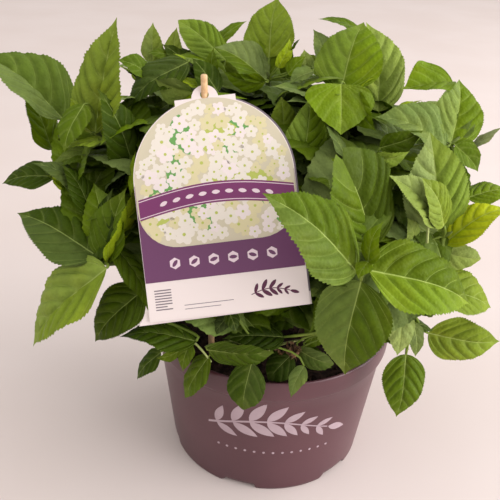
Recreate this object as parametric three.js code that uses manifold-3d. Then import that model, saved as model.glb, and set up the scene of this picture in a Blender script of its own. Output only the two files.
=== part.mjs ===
// A bigleaf hydrangea in its nursery pot: a moulded pot with a collar, compost, six woody stems that
// fork into boughs, a mass of foliage on every bough, and a care card hung on a bamboo stick.
// Millimetres, +Z up, front towards -Y. The origin is the middle of the pot's flat underside.
import * as THREE from "three";
import { mergeVertices } from "three/addons/utils/BufferGeometryUtils.js";
import Module from "manifold-3d";

const wasm = await Module();
wasm.setup();

// ---- Driving dimensions ---------------------------------------------------------------------

const GAP = 0.4; // clearance between neighbouring pieces

const POT = {
  height: 143,
  rimRadius: 115,
  collarHeight: 21,
  collarDepth: 3.6, // how far the collar stands proud of the wall under it
  collarDraft: 0.8, // the collar is this much narrower at its lower edge
  baseRadius: 96,
  wall: 2,
  floor: 3,
  edgeRound: 1.2,
  sides: 32,
};
const NOTCH = { count: 6, width: 34, height: 4.5, depth: 9, firstAngle: -103 };

const COMPOST = { top: 125, mound: 5, rings: 2 };

const STEMS = {
  count: 6,
  ringRadius: 34, // the stems leave the compost on this ring
  spread: 26, // and lean out by this much at the fork
  forkHeight: 176,
  rootDepth: 12,
  baseRadius: 5.2,
  forkRadius: 4,
  sides: 6,
  steps: 4,
};
const BOUGH = { baseRadius: 3.3, tipRadius: 2.1, sides: 4, steps: 3, rise: 0.12, highestRise: 9 };

const CARD = {
  width: 124,
  side: 105, // straight edge, up to where the half-round top starts
  hangerWidth: 47, // the straight strip along the very top
  hangerHeight: 167,
  tabRadius: 10.4,
  tabHeight: 166, // middle of the round tab
  holeRadius: 4,
  holeHeight: 169,
  thickness: 2.4, // two leaves, folded together
  lean: 28, // back from upright
  tilt: 9.2, // in its own plane, right side up
  turn: 2.4, // about the upright
  foot: [-32, -130, 221], // middle of the lower edge
  clearView: 70, // no leaves but one mass's in front of it, this far out
  arcSteps: 6,
};
const STICK = { radius: 2.5, foot: [-54, -46, 112], overshoot: 16, sides: 8 };

const LEAF = {
  opposite: 0.88, // the leaf across from the longest one, as a share of its length
  crossing: 0.8, // the younger pair between them
  crossingRise: 22, // degrees out of the plane of the first pair
  bud: 0.62, // the unopened leaves at the tip of the shoot
  budLean: 0.3, // and how far they lean towards the longest leaf
  halfWidth: 38, // degrees round the shoot over which a leaf fades into the mass, across its blade
  halfThickness: 30, // and through it
};

// Every shoot carries one mass: where its leaves radiate from, how thick the mass is there, where
// its longest leaf ends, and which way the shoot points (azimuth from +X, lift above level).
const SHOOTS = [
  { name: "front_right", at: [62, -134, 270], core: 42, tip: [-11, -150, 331], azimuth: -85, lift: 30 },
  { name: "right_upper", at: [134, -60, 262], core: 48, tip: [187, -50, 284], azimuth: -50, lift: 45 },
  { name: "right_top", at: [138, -8, 322], core: 46, tip: [149, 32, 372], azimuth: 0, lift: 45 },
  { name: "right_lower", at: [114, -68, 198], core: 46, tip: [206, -52, 158], azimuth: -40, lift: -5 },
  { name: "top_right", at: [54, 8, 348], core: 50, tip: [58, 30, 412], azimuth: -70, lift: 60 },
  { name: "top_middle", at: [-16, 36, 356], core: 48, tip: [-13, 60, 427], azimuth: -100, lift: 60 },
  { name: "top_left", at: [-72, 48, 348], core: 46, tip: [-102, 80, 398], azimuth: 200, lift: 60 },
  { name: "left_back_top", at: [-124, 58, 334], core: 46, tip: [-128, 80, 397], azimuth: 170, lift: 40 },
  { name: "left_top", at: [-148, -20, 316], core: 48, tip: [-141, -2, 412], azimuth: 200, lift: 30 },
  { name: "left_outer", at: [-196, 16, 296], core: 44, tip: [-257, 20, 360], azimuth: 240, lift: 50 },
  { name: "left_middle", at: [-172, -32, 266], core: 44, tip: [-242, -30, 273], azimuth: 230, lift: 30 },
  { name: "left_front", at: [-136, -88, 234], core: 44, tip: [-208, -92, 146], azimuth: 240, lift: 25 },
  { name: "left_lower", at: [-92, -88, 190], core: 40, tip: [-148, -102, 160], azimuth: 230, lift: -10 },
  { name: "front_lower", at: [-16, -96, 180], core: 42, tip: [-19, -128, 122], azimuth: 265, lift: 0 },
  { name: "front_inner", at: [62, -92, 200], core: 42, tip: [58, -148, 186], azimuth: -60, lift: 0 },
  { name: "middle_left", at: [-66, -34, 284], core: 52, tip: [-122, -46, 300], azimuth: 250, lift: 60 },
  { name: "middle_right", at: [40, -34, 292], core: 46, tip: [43, -88, 340], azimuth: -85, lift: 50 },
  { name: "back_right_top", at: [104, 84, 300], core: 52, tip: [172, 124, 340], azimuth: 50, lift: 50 },
  { name: "back_top", at: [8, 112, 312], core: 52, tip: [30, 176, 364], azimuth: 90, lift: 40 },
  { name: "back_left_top", at: [-90, 112, 296], core: 52, tip: [-150, 160, 330], azimuth: 125, lift: 50 },
  { name: "back_right", at: [136, 76, 208], core: 50, tip: [208, 92, 172], azimuth: 35, lift: 15 },
  { name: "back", at: [34, 134, 208], core: 50, tip: [66, 214, 186], azimuth: 85, lift: 15 },
  { name: "back_left", at: [-80, 124, 204], core: 50, tip: [-124, 196, 170], azimuth: 125, lift: 15 },
  { name: "left_back", at: [-158, 50, 208], core: 50, tip: [-232, 74, 176], azimuth: 165, lift: 15 },
];
const CARD_OVERLAPPED_BY = "front_right"; // the one mass whose leaves lie over the card
const STEM_BORNE = "front_lower"; // this mass sits straight on a stem, with no bough of its own
const RUNS_THROUGH = "front_right"; // and this one's bough runs up through its neighbours
const MASS_GROWTH = 1.012; // a mass grown by this much about its shoot keeps boughs clear of it
const CORE_UNEVEN = 0.1;
const CORE_DETAIL = 2; // subdivisions of a mass

// ---- Finishes -------------------------------------------------------------------------------

const finish = (color, roughness) => new THREE.MeshStandardMaterial({ color, roughness, metalness: 0 });
const POT_PLASTIC = finish(0x6f4a50, 0.45);
const COMPOST_PEAT = finish(0x3a2a20, 0.95);
const STEM_BARK = finish(0x7a6a48, 0.8);
const BOUGH_GREEN = finish(0x8f9a55, 0.6);
const FOLIAGE = finish(0x5f7a2c, 0.6);
const CARD_PRINT = finish(0x7e5180, 0.4);
const BAMBOO = finish(0xdccfae, 0.6);

// ---- Solids ---------------------------------------------------------------------------------

const radians = THREE.MathUtils.degToRad;

// A geometry with its positions only.
function bareGeometry(geometry) {
  geometry.deleteAttribute("normal");
  geometry.deleteAttribute("uv");
  return geometry;
}

// A closed geometry as a manifold solid, without the empty triangles that poles leave.
function solidOf(geometry) {
  const merged = mergeVertices(bareGeometry(geometry), 1e-3);
  const kept = [];
  const index = merged.index.array;
  for (let i = 0; i < index.length; i += 3) {
    const [a, b, c] = [index[i], index[i + 1], index[i + 2]];
    if (a !== b && b !== c && c !== a) kept.push(a, b, c);
  }
  return new wasm.Manifold(
    new wasm.Mesh({
      numProp: 3,
      vertProperties: new Float32Array(merged.attributes.position.array),
      triVerts: new Uint32Array(kept),
    }),
  );
}

function geometryOf(solid) {
  const { vertProperties, triVerts } = solid.getMesh();
  const geometry = new THREE.BufferGeometry();
  geometry.setAttribute("position", new THREE.BufferAttribute(new Float32Array(vertProperties), 3));
  geometry.setIndex(new THREE.BufferAttribute(new Uint32Array(triVerts), 1));
  geometry.computeVertexNormals();
  return geometry;
}

// A cut can leave crumbs; the piece is the largest body.
function largestBody(solid) {
  return solid.decompose().reduce((best, body) => (body.volume() > best.volume() ? body : best));
}

// The group, and the space its pieces have taken so far, each grown by the gap.
const plant = new THREE.Group();
let taken = null;

function addPiece(name, solid, material) {
  const mesh = new THREE.Mesh(geometryOf(solid), material);
  mesh.name = name;
  plant.add(mesh);
}

function take(grown) {
  taken = taken ? taken.add(grown) : grown;
}

const cutByTaken = (solid) => largestBody(solid.subtract(taken));

// ---- Pot and compost ------------------------------------------------------------------------

const wallRadius = (z) => {
  const top = POT.height - POT.collarHeight;
  return POT.baseRadius + ((POT.rimRadius - POT.collarDraft - POT.collarDepth - POT.baseRadius) * z) / top;
};

function lathe(profile, sides) {
  const points = profile.map(([r, z]) => new THREE.Vector2(r, z));
  return new THREE.LatheGeometry(points, sides).rotateX(Math.PI / 2);
}

function potProfile() {
  const collarFoot = POT.height - POT.collarHeight;
  const collarRadius = POT.rimRadius - POT.collarDraft;
  const inside = POT.floor + POT.edgeRound;
  return [
    [0, 0],
    [POT.baseRadius - POT.edgeRound, 0],
    [wallRadius(POT.edgeRound), POT.edgeRound],
    [wallRadius(collarFoot), collarFoot],
    [collarRadius, collarFoot + POT.edgeRound],
    [POT.rimRadius, POT.height - POT.edgeRound],
    [POT.rimRadius - POT.edgeRound, POT.height],
    [POT.rimRadius - POT.wall, POT.height - POT.edgeRound],
    [collarRadius - POT.wall, collarFoot + POT.wall],
    [wallRadius(collarFoot) - POT.wall, collarFoot - POT.wall],
    [wallRadius(inside) - POT.wall, inside],
    [wallRadius(POT.floor) - POT.wall - POT.edgeRound, POT.floor],
    [0, POT.floor],
  ];
}

// Shallow drainage notches are cut through the foot of the wall.
function pot() {
  let solid = solidOf(lathe(potProfile(), POT.sides));
  for (let i = 0; i < NOTCH.count; i++) {
    const angle = radians(NOTCH.firstAngle + (360 * i) / NOTCH.count);
    const block = new THREE.BoxGeometry(2 * NOTCH.depth, NOTCH.width, 2 * NOTCH.height);
    block.translate(POT.baseRadius, 0, 0);
    solid = solid.subtract(solidOf(block.rotateZ(angle)));
  }
  return solid;
}

// The pot filled in, for keeping leaves out of it.
function potPlug() {
  const outline = potProfile().slice(0, 7);
  const grown = outline.map(([r, z]) => [r ? r + GAP : 0, z === 0 ? -GAP : z]);
  return solidOf(lathe([...grown, [0, POT.height]], POT.sides));
}

function compost() {
  const inner = (z) => wallRadius(z) - POT.wall - GAP - 0.2;
  const low = POT.floor + GAP;
  const knee = low + POT.edgeRound;
  const profile = [
    [0, low],
    [inner(low) - POT.edgeRound, low],
    [inner(knee), knee],
    [inner(COMPOST.top - POT.edgeRound), COMPOST.top - POT.edgeRound],
  ];
  for (let ring = COMPOST.rings; ring >= 0; ring--) {
    const share = ring / (COMPOST.rings + 0.5);
    profile.push([inner(COMPOST.top) * share, COMPOST.top + COMPOST.mound * (1 - share * share)]);
  }
  return solidOf(lathe(profile, POT.sides));
}

// ---- Card and stick -------------------------------------------------------------------------

function cardOutline(grow) {
  const half = CARD.width / 2 + grow;
  const hanger = CARD.hangerWidth / 2 + grow;
  const top = CARD.hangerHeight + grow;
  const tab = CARD.tabRadius + grow;
  const archEnd = Math.acos(hanger / half);
  const outline = new THREE.Shape();
  outline.moveTo(-half, -grow);
  outline.lineTo(half, -grow);
  outline.lineTo(half, CARD.side);
  outline.absarc(0, CARD.side, half, 0, archEnd, false);
  outline.lineTo(hanger, top);
  outline.lineTo(tab, top);
  outline.absarc(0, CARD.tabHeight, tab, 0.1, Math.PI - 0.1, false);
  outline.lineTo(-tab, top);
  outline.lineTo(-hanger, top);
  outline.absarc(0, CARD.side, half, Math.PI - archEnd, Math.PI, false);
  outline.closePath();
  if (grow === 0) {
    const hole = new THREE.Path();
    hole.absarc(0, CARD.holeHeight, CARD.holeRadius, 0, 2 * Math.PI, true);
    outline.holes.push(hole);
  }
  return outline;
}

// The card's own frame: x across, y up the card, z out of its printed face.
function cardMatrix() {
  const leaned = new THREE.Matrix4().makeRotationX(radians(90 - CARD.lean));
  const turned = new THREE.Matrix4().makeRotationZ(radians(CARD.turn));
  const tilted = new THREE.Matrix4().makeRotationZ(radians(CARD.tilt));
  const placed = new THREE.Matrix4().makeTranslation(...CARD.foot);
  return placed.multiply(turned).multiply(leaned).multiply(tilted);
}

// The card as a plate, grown all round, and reaching further out of its printed face if asked.
function cardPlate(grow, forwards = 0) {
  const depth = CARD.thickness + 2 * grow + forwards;
  const options = { depth, bevelEnabled: false, curveSegments: CARD.arcSteps };
  const plate = new THREE.ExtrudeGeometry(cardOutline(grow), options);
  return solidOf(plate.translate(0, 0, -CARD.thickness / 2 - grow).applyMatrix4(cardMatrix()));
}

// The stick stands in the compost behind the card and comes out through the hole in its tab.
function stick(grow) {
  const hole = new THREE.Vector3(0, CARD.holeHeight, 0).applyMatrix4(cardMatrix());
  const foot = new THREE.Vector3(...STICK.foot);
  const along = hole.clone().sub(foot).normalize();
  const tip = hole.clone().addScaledVector(along, STICK.overshoot);
  return limb([foot, tip], STICK.radius + grow, STICK.radius + grow, STICK.sides, 1, grow);
}

// ---- Wood -----------------------------------------------------------------------------------

// A tapering limb: a cylinder bent along a smooth curve through the points.
function limb(points, baseRadius, tipRadius, sides, steps, grow) {
  const curve = new THREE.CatmullRomCurve3(points);
  const frames = curve.computeFrenetFrames(steps, false);
  const bar = new THREE.CylinderGeometry(tipRadius, baseRadius, 1, sides, steps);
  const position = bar.attributes.position;
  for (let i = 0; i < position.count; i++) {
    const share = position.getY(i) + 0.5;
    const step = Math.round(share * steps);
    const end = share === 0 ? -grow : share === 1 ? grow : 0;
    const place = curve.getPointAt(step / steps);
    place.addScaledVector(frames.tangents[step], end);
    place.addScaledVector(frames.normals[step], position.getX(i));
    place.addScaledVector(frames.binormals[step], -position.getZ(i));
    position.setXYZ(i, place.x, place.y, place.z);
  }
  return solidOf(bar);
}

function polar(radius, angle, height) {
  return new THREE.Vector3(radius * Math.cos(radians(angle)), radius * Math.sin(radians(angle)), height);
}

function stemPoints(index) {
  const angle = (360 * (index + 0.35)) / STEMS.count;
  const foot = polar(STEMS.ringRadius, angle, COMPOST.top - STEMS.rootDepth);
  const middle = polar(STEMS.ringRadius + STEMS.spread / 3, angle + 4, (foot.z + STEMS.forkHeight) / 2);
  const fork = polar(STEMS.ringRadius + STEMS.spread, angle, STEMS.forkHeight);
  return [foot, middle, fork];
}

// A bough leaves the nearest stem just below its fork and rises into its mass.
function boughPoints(shoot) {
  const at = new THREE.Vector3(...shoot.at);
  const forks = [...Array(STEMS.count).keys()].map((index) => stemPoints(index)[2]);
  const fork = forks.reduce((best, point) => (point.distanceTo(at) < best.distanceTo(at) ? point : best));
  const start = fork.clone().addScaledVector(new THREE.Vector3(0, 0, -1), STEMS.forkRadius);
  const middle = start.clone().lerp(at, 0.5);
  middle.z += Math.min(BOUGH.highestRise, BOUGH.rise * start.distanceTo(at));
  return [start, middle, at];
}

// ---- Foliage --------------------------------------------------------------------------------

function shootAxis(shoot) {
  const flat = Math.cos(radians(shoot.lift));
  const turn = radians(shoot.azimuth);
  return new THREE.Vector3(flat * Math.cos(turn), flat * Math.sin(turn), Math.sin(radians(shoot.lift)));
}

// The leaves of a shoot as directions and lengths: the longest leaf, the one across from it, the
// younger pair crossing them, and the bud.
function shootLeaves(shoot, axis) {
  const reach = new THREE.Vector3(...shoot.tip).sub(new THREE.Vector3(...shoot.at));
  const length = reach.length();
  const first = reach.normalize();
  const lean = axis.clone().multiplyScalar(2 * first.dot(axis));
  const second = first.clone().negate().add(lean);
  const crossing = new THREE.Vector3().crossVectors(axis, first).normalize();
  const rise = axis.clone().multiplyScalar(Math.sin(radians(LEAF.crossingRise)));
  const sideways = crossing.multiplyScalar(Math.cos(radians(LEAF.crossingRise)));
  return [
    { along: first, length },
    { along: second, length: length * LEAF.opposite },
    { along: rise.clone().add(sideways), length: length * LEAF.crossing },
    { along: rise.clone().sub(sideways), length: length * LEAF.crossing },
    { along: axis.clone().addScaledVector(first, LEAF.budLean).normalize(), length: length * LEAF.bud },
  ];
}

// How far a leaf draws out a point of the mass that lies in the direction given, from 0 to 1.
function leafShare(direction, { along, across, face }) {
  if (direction.dot(along) <= 0) return 0;
  const wide = Math.atan2(direction.dot(across), direction.dot(along)) / radians(LEAF.halfWidth);
  const thick = Math.atan2(direction.dot(face), direction.dot(along)) / radians(LEAF.halfThickness);
  return Math.max(0, 1 - Math.hypot(wide, thick)) ** 1.3;
}

// A mass is a rough ball that its leaves draw out into points. The corner nearest to each leaf is
// turned to face along it, so that the mass reaches the leaf's very tip.
function foliage(shoot) {
  const axis = shootAxis(shoot);
  const leaves = shootLeaves(shoot, axis).map(({ along, length }) => {
    const face = axis.clone().addScaledVector(along, -axis.dot(along)).normalize();
    return { along, length, face, across: new THREE.Vector3().crossVectors(along, face) };
  });
  const ball = mergeVertices(bareGeometry(new THREE.IcosahedronGeometry(1, CORE_DETAIL)), 1e-4);
  const position = ball.attributes.position;
  const corners = [];
  for (let i = 0; i < position.count; i++) corners.push(new THREE.Vector3().fromBufferAttribute(position, i));
  for (const { along } of leaves) {
    const nearest = corners.reduce((best, corner) => (corner.dot(along) > best.dot(along) ? corner : best));
    nearest.copy(along);
  }
  const phase = 0.05 * shoot.at[0] + 0.03 * shoot.at[1];
  corners.forEach((corner, i) => {
    const ripple = Math.sin(3 * corner.x + phase) * Math.cos(4 * corner.y - phase);
    const wave = ripple + Math.sin(5 * corner.z + phase);
    let radius = shoot.core * (1 + (CORE_UNEVEN / 2) * wave);
    for (const leaf of leaves) radius += Math.max(0, leaf.length - radius) * leafShare(corner, leaf);
    position.setXYZ(i, ...corner.multiplyScalar(radius).toArray());
  });
  return solidOf(ball.translate(...shoot.at));
}

// Where two masses would meet, a plane between them parts them.
function partFromNeighbours(solid, shoot) {
  const at = new THREE.Vector3(...shoot.at);
  for (const other of SHOOTS) {
    const apart = new THREE.Vector3(...other.at).sub(at);
    const distance = apart.length();
    if (other === shoot) continue;
    const towards = apart.normalize();
    const share = shoot.core / (shoot.core + other.core);
    const offset = towards.dot(at) + share * distance - GAP;
    solid = solid.trimByPlane([-towards.x, -towards.y, -towards.z], -offset);
  }
  return solid;
}

// ---- Assembly -------------------------------------------------------------------------------

addPiece("pot", pot(), POT_PLASTIC);

for (let index = 0; index < STEMS.count; index++) {
  const points = stemPoints(index);
  const shape = (grow) =>
    limb(points, STEMS.baseRadius + grow, STEMS.forkRadius + grow, STEMS.sides, STEMS.steps, grow);
  addPiece(`stem_${index + 1}`, shape(0), STEM_BARK);
  take(shape(GAP));
}

take(stick(GAP));
addPiece("compost", cutByTaken(compost()), COMPOST_PEAT);
addPiece("card_stick", stick(0), BAMBOO);
addPiece("care_card", cutByTaken(cardPlate(0)), CARD_PRINT);
take(cardPlate(GAP));
take(potPlug());

const boughShape = (shoot, grow) =>
  limb(boughPoints(shoot), BOUGH.baseRadius + grow, BOUGH.tipRadius + grow, BOUGH.sides, BOUGH.steps, grow);

function grownMass(mass, { at }) {
  return mass.translate(at.map((value) => -value)).scale(MASS_GROWTH).translate(at);
}

const cardView = cardPlate(GAP, CARD.clearView);
const masses = new Map();
for (const shoot of SHOOTS) {
  const whole = partFromNeighbours(foliage(shoot), shoot);
  masses.set(shoot, cutByTaken(shoot.name === CARD_OVERLAPPED_BY ? whole : whole.subtract(cardView)));
}

const through = SHOOTS.find(({ name }) => name === RUNS_THROUGH);
const throughEnd = grownMass(masses.get(through), through);
addPiece(`bough_${RUNS_THROUGH}`, cutByTaken(boughShape(through, 0).subtract(throughEnd)), BOUGH_GREEN);
const throughSpace = boughShape(through, GAP);

for (const [shoot, mass] of masses) {
  const solid = shoot === through ? mass : largestBody(mass.subtract(throughSpace));
  addPiece(`foliage_${shoot.name}`, solid, FOLIAGE);
  take(grownMass(solid, shoot));
}
take(throughSpace);

for (const shoot of SHOOTS) {
  if (shoot.name === STEM_BORNE || shoot === through) continue;
  addPiece(`bough_${shoot.name}`, cutByTaken(boughShape(shoot, 0)), BOUGH_GREEN);
  take(boughShape(shoot, GAP));
}

export default plant;
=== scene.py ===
"""A young hydrangea in its plum-coloured plastic pot, with a care card on a bamboo stick."""
import math
import random

import bmesh
import bpy
import numpy as np
from mathutils import Matrix, Vector, noise
from mathutils.bvhtree import BVHTree


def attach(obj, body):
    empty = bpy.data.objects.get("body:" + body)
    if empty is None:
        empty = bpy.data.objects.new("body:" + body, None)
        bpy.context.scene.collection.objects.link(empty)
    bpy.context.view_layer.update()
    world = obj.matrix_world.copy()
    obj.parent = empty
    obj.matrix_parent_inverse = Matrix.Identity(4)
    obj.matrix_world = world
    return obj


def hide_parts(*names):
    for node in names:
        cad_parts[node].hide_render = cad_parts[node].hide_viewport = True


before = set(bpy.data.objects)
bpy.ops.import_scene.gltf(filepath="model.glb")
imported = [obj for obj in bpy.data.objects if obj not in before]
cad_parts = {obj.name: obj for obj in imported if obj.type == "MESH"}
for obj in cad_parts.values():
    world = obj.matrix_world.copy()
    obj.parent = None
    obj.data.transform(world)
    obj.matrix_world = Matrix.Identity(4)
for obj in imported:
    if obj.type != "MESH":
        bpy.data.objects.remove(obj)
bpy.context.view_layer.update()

# Sizes are in millimetres, with the pot's foot at zero, its axis along Z and its front towards -Y.
MM = 0.001

# The camera, and the side of its square view, in which spots are given from the top left corner.
CAMERA = {"place": (0, -580.4, 518.9), "down": 28.2, "turn": 2.4, "roll": 2.5, "lens": 50.4, "sensor": 36}
VIEW = 500

POT = {
    "height": 143, "rim_radius": 115, "collar_height": 21, "collar_depth": 3.6, "collar_draft": 0.8,
    "base_radius": 96, "wall": 2, "floor": 3, "steps": 240,
}
NOTCH = {
    "count": 6, "width": 34, "height": 4.5, "depth": 9, "first_angle": -103, "side_angle": 1.6, "skin": 3,
    "flat_top": 2.6, "fade_top": 8.5, "floor_lift": 1.2,
}
COMPOST = {
    "top": 125, "mound": 5, "radius": 112, "rings": 26, "steps": 110, "roughness": 2.2, "foot": 6,
    "crust_from": 110, "edge_height": 118,
}
STEMS = {
    "count": 6, "ring_radius": 34, "spread": 26, "fork_height": 176, "middle_height": 144.5, "foot": 113,
    "base_radius": 5.2, "fork_radius": 4, "sides": 16, "steps": 26, "ridge": 0.55,
}
BOUGH = {"base_radius": 3.3, "tip_radius": 2.1, "rise": 0.12, "highest_rise": 9, "sides": 10, "steps": 20}
CARD = {
    "width": 124, "side": 105, "hanger_width": 47, "hanger_height": 167, "tab_radius": 10.4,
    "tab_height": 166, "hole_radius": 3.3, "hole_height": 169, "thickness": 2.4, "lean": 28, "tilt": 9.2,
    "turn": 2.4, "foot": (-32, -130, 221),
}
STICK = {"radius": 2.8, "foot": (-54, -46, 112), "overshoot": 16, "bare_half": 14, "bare_top": 188}

# Where each shoot's leaves spread from, and the way it points: its turn from +X, and its lift.
SHOOTS = {
    "front_right": ((62, -134, 270), -85, 30),
    "right_upper": ((134, -60, 262), -50, 45),
    "right_top": ((138, -8, 322), 0, 45),
    "right_lower": ((114, -68, 198), -40, -5),
    "top_right": ((54, 8, 348), -70, 60),
    "top_middle": ((-16, 36, 356), -100, 60),
    "top_left": ((-72, 48, 348), 200, 60),
    "left_back_top": ((-124, 58, 334), 170, 40),
    "left_top": ((-148, -20, 316), 200, 30),
    "left_outer": ((-196, 16, 296), 240, 50),
    "left_middle": ((-172, -32, 266), 230, 30),
    "left_front": ((-136, -88, 234), 240, 25),
    "left_lower": ((-92, -88, 190), 230, -10),
    "front_lower": ((-16, -96, 180), 265, 0),
    "front_inner": ((62, -92, 200), -60, 0),
    "middle_left": ((-66, -34, 284), 250, 60),
    "middle_right": ((40, -34, 292), -85, 50),
    "back_right_top": ((104, 84, 300), 50, 50),
    "back_top": ((8, 112, 312), 90, 40),
    "back_left_top": ((-90, 112, 296), 125, 50),
    "back_right": ((136, 76, 208), 35, 15),
    "back": ((34, 134, 208), 85, 15),
    "back_left": ((-80, 124, 204), 125, 15),
    "left_back": ((-158, 50, 208), 165, 15),
}
# The shoot that sits straight on a stem's fork, and how far a growing tip stands out of its shoot's end.
STEM_BORNE = "front_lower"
TIP_REACH = 14


# ---------------------------------------------------------------- camera

def new_object(name, data):
    """An object that is in the scene."""
    made = bpy.data.objects.new(name, data)
    bpy.context.scene.collection.objects.link(made)
    return made


def tilted(turn, down, roll):
    """Three axes as columns, turned about Z, tipped forward from upright and rolled about the third."""
    axes = Matrix.Rotation(math.radians(turn), 3, "Z") @ Matrix.Rotation(math.radians(90 - down), 3, "X")
    return axes @ Matrix.Rotation(math.radians(roll), 3, "Z")


EYE = np.array(CAMERA["place"], float)
CAMERA_AXES = tilted(CAMERA["turn"], CAMERA["down"], CAMERA["roll"])
AXES = np.array(CAMERA_AXES)
FOCAL = VIEW * CAMERA["lens"] / CAMERA["sensor"]


def sight(spot, plane):
    """The point on the upright plane y = plane that shows at a spot of the view."""
    across = (spot[0] - VIEW / 2) / FOCAL
    up = (VIEW / 2 - spot[1]) / FOCAL
    way = AXES @ np.array((across, up, -1.0))
    return EYE + way * (plane - EYE[1]) / way[1]


def shown_at(points):
    """Where points show in the view, and how far away they are."""
    seen = (np.atleast_2d(points) - EYE) @ AXES
    depth = -seen[:, 2]
    return np.stack((seen[:, 0] / depth, -seen[:, 1] / depth), 1) * FOCAL + VIEW / 2, depth


def scale_at(point):
    """How wide a millimetre looks at a point, in spots of the view."""
    return FOCAL / (point - EYE).dot(-AXES[:, 2])


def place_camera():
    lens = bpy.data.cameras.new("camera")
    lens.lens = CAMERA["lens"]
    lens.sensor_width = CAMERA["sensor"]
    holder = new_object("camera", lens)
    holder.matrix_world = Matrix.Translation(Vector(EYE * MM)) @ CAMERA_AXES.to_4x4()
    bpy.context.scene.camera = holder


# ---------------------------------------------------------------- paints and finishes

def paint(red, green, blue):
    """A colour given as 0 to 255, in the values that shaders use."""
    values = []
    for part in (red, green, blue):
        share = part / 255
        values.append(share / 12.92 if share <= 0.04045 else ((share + 0.055) / 1.055) ** 2.4)
    return (*values, 1.0)


def blend_paint(first, second, share):
    """A paint mixed of two, with the second's share."""
    return paint(*(low + (high - low) * share for low, high in zip(first, second)))


def feed(tree, node, values):
    """Sets a node's inputs, with a link where the value is another node's output."""
    for label, value in values.items():
        if isinstance(value, bpy.types.NodeSocket):
            tree.links.new(value, node.inputs[label])
        else:
            node.inputs[label].default_value = value


def add_mix(tree, factor, first, second, blend="MIX"):
    node = tree.nodes.new("ShaderNodeMix")
    node.data_type = "RGBA"
    node.blend_type = blend
    feed(tree, node, {0: factor, 6: first, 7: second})
    return node.outputs[2]


def add_math(tree, operation, first, second):
    node = tree.nodes.new("ShaderNodeMath")
    node.operation = operation
    feed(tree, node, {0: first, 1: second})
    return node.outputs[0]


def add_range(tree, value, low, high, to_low=0.0, to_high=1.0):
    node = tree.nodes.new("ShaderNodeMapRange")
    node.interpolation_type = "SMOOTHSTEP"
    feed(tree, node, {"Value": value, "From Min": low, "From Max": high, "To Min": to_low, "To Max": to_high})
    return node.outputs["Result"]


def add_noise(tree, scale, detail=3.0, roughness=0.5):
    """Noise on object coordinates, with scale in bumps to the metre."""
    place = tree.nodes.new("ShaderNodeTexCoord").outputs["Object"]
    node = tree.nodes.new("ShaderNodeTexNoise")
    feed(tree, node, {"Vector": place, "Scale": scale, "Detail": detail, "Roughness": roughness})
    return node.outputs[0]


def add_attribute(tree, label):
    node = tree.nodes.new("ShaderNodeAttribute")
    node.attribute_name = label
    return node.outputs["Fac"]


def add_bump(tree, source, height):
    """A bump of the strength and depth that its group is given."""
    node = tree.nodes.new("ShaderNodeBump")
    feed(tree, node, {"Strength": source["Strength"], "Distance": source["Depth"], "Height": height})
    return node.outputs["Normal"]


def new_group(name, outputs, **inputs):
    """A node group with its kinds of output and its usual inputs, and its two end nodes."""
    group = bpy.data.node_groups.new(name, "ShaderNodeTree")
    for label, value in inputs.items():
        kind = "NodeSocketColor" if isinstance(value, tuple) else "NodeSocketFloat"
        group.interface.new_socket(name=label, in_out="INPUT", socket_type=kind).default_value = value
    for label, kind in outputs.items():
        group.interface.new_socket(name=label, in_out="OUTPUT", socket_type=kind)
    return group, group.nodes.new("NodeGroupInput").outputs, group.nodes.new("NodeGroupOutput")


def mottle_group():
    """Cloudy variation between two colours."""
    group, source, out = new_group(
        "mottle", {"Color": "NodeSocketColor"}, Light=(1, 1, 1, 1), Dark=(0, 0, 0, 1), Scale=40.0,
    )
    spread = add_range(group, add_noise(group, source["Scale"]), 0.3, 0.7)
    feed(group, out, {"Color": add_mix(group, spread, source["Dark"], source["Light"])})
    return group


def grain_group():
    """A fine raised grain."""
    group, source, out = new_group(
        "grain", {"Normal": "NodeSocketVector"}, Scale=900.0, Strength=0.2, Depth=0.0004,
    )
    feed(group, out, {"Normal": add_bump(group, source, add_noise(group, source["Scale"], 2.0))})
    return group


# The pale grey-green of a painted sheen, which leaf halves painted as catching the light are mixed towards.
SHEEN_GREY = (0.37, 0.44, 0.2, 1)
YELLOWING = (1.42, 1.16, 0.75, 1)


def leaf_group():
    """A leaf's green: cloudy, yellower in patches, paled by a painted sheen and darkened by painted shade
    half by half, and different from leaf to leaf.
    """
    group, source, out = new_group(
        "leaf_green", {"Color": "NodeSocketColor"}, Green=(0, 1, 0, 1), Vein=(0, 1, 0, 1),
    )
    near = add_range(group, add_attribute(group, "between_veins"), 0.0, 0.7, 0.16, 0.0)
    halo = add_mix(group, near, source["Green"], source["Vein"])
    patch = add_range(group, add_noise(group, 30, 2.0), 0.45, 0.7, 0.0, 0.3)
    warmed = add_mix(group, patch, halo, add_mix(group, 1.0, halo, YELLOWING, "MULTIPLY"))
    # painted sheen: the green mixed towards the sheen's pale grey, as far as each point's painted sheen says
    sheened = add_mix(group, add_attribute(group, "leaf_painted_sheen"), warmed, SHEEN_GREY)
    lift = add_range(group, add_noise(group, 95, 4.0, 0.62), 0.28, 0.72, 0.87, 1.12)
    # the leaf's random tone, darkened where its half carries painted shade
    level = add_math(group, "MULTIPLY", lift, add_attribute(group, "leaf_tone_and_shade"))
    feed(group, out, {"Color": add_mix(group, 1.0, sheened, level, "MULTIPLY")})
    return group


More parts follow.
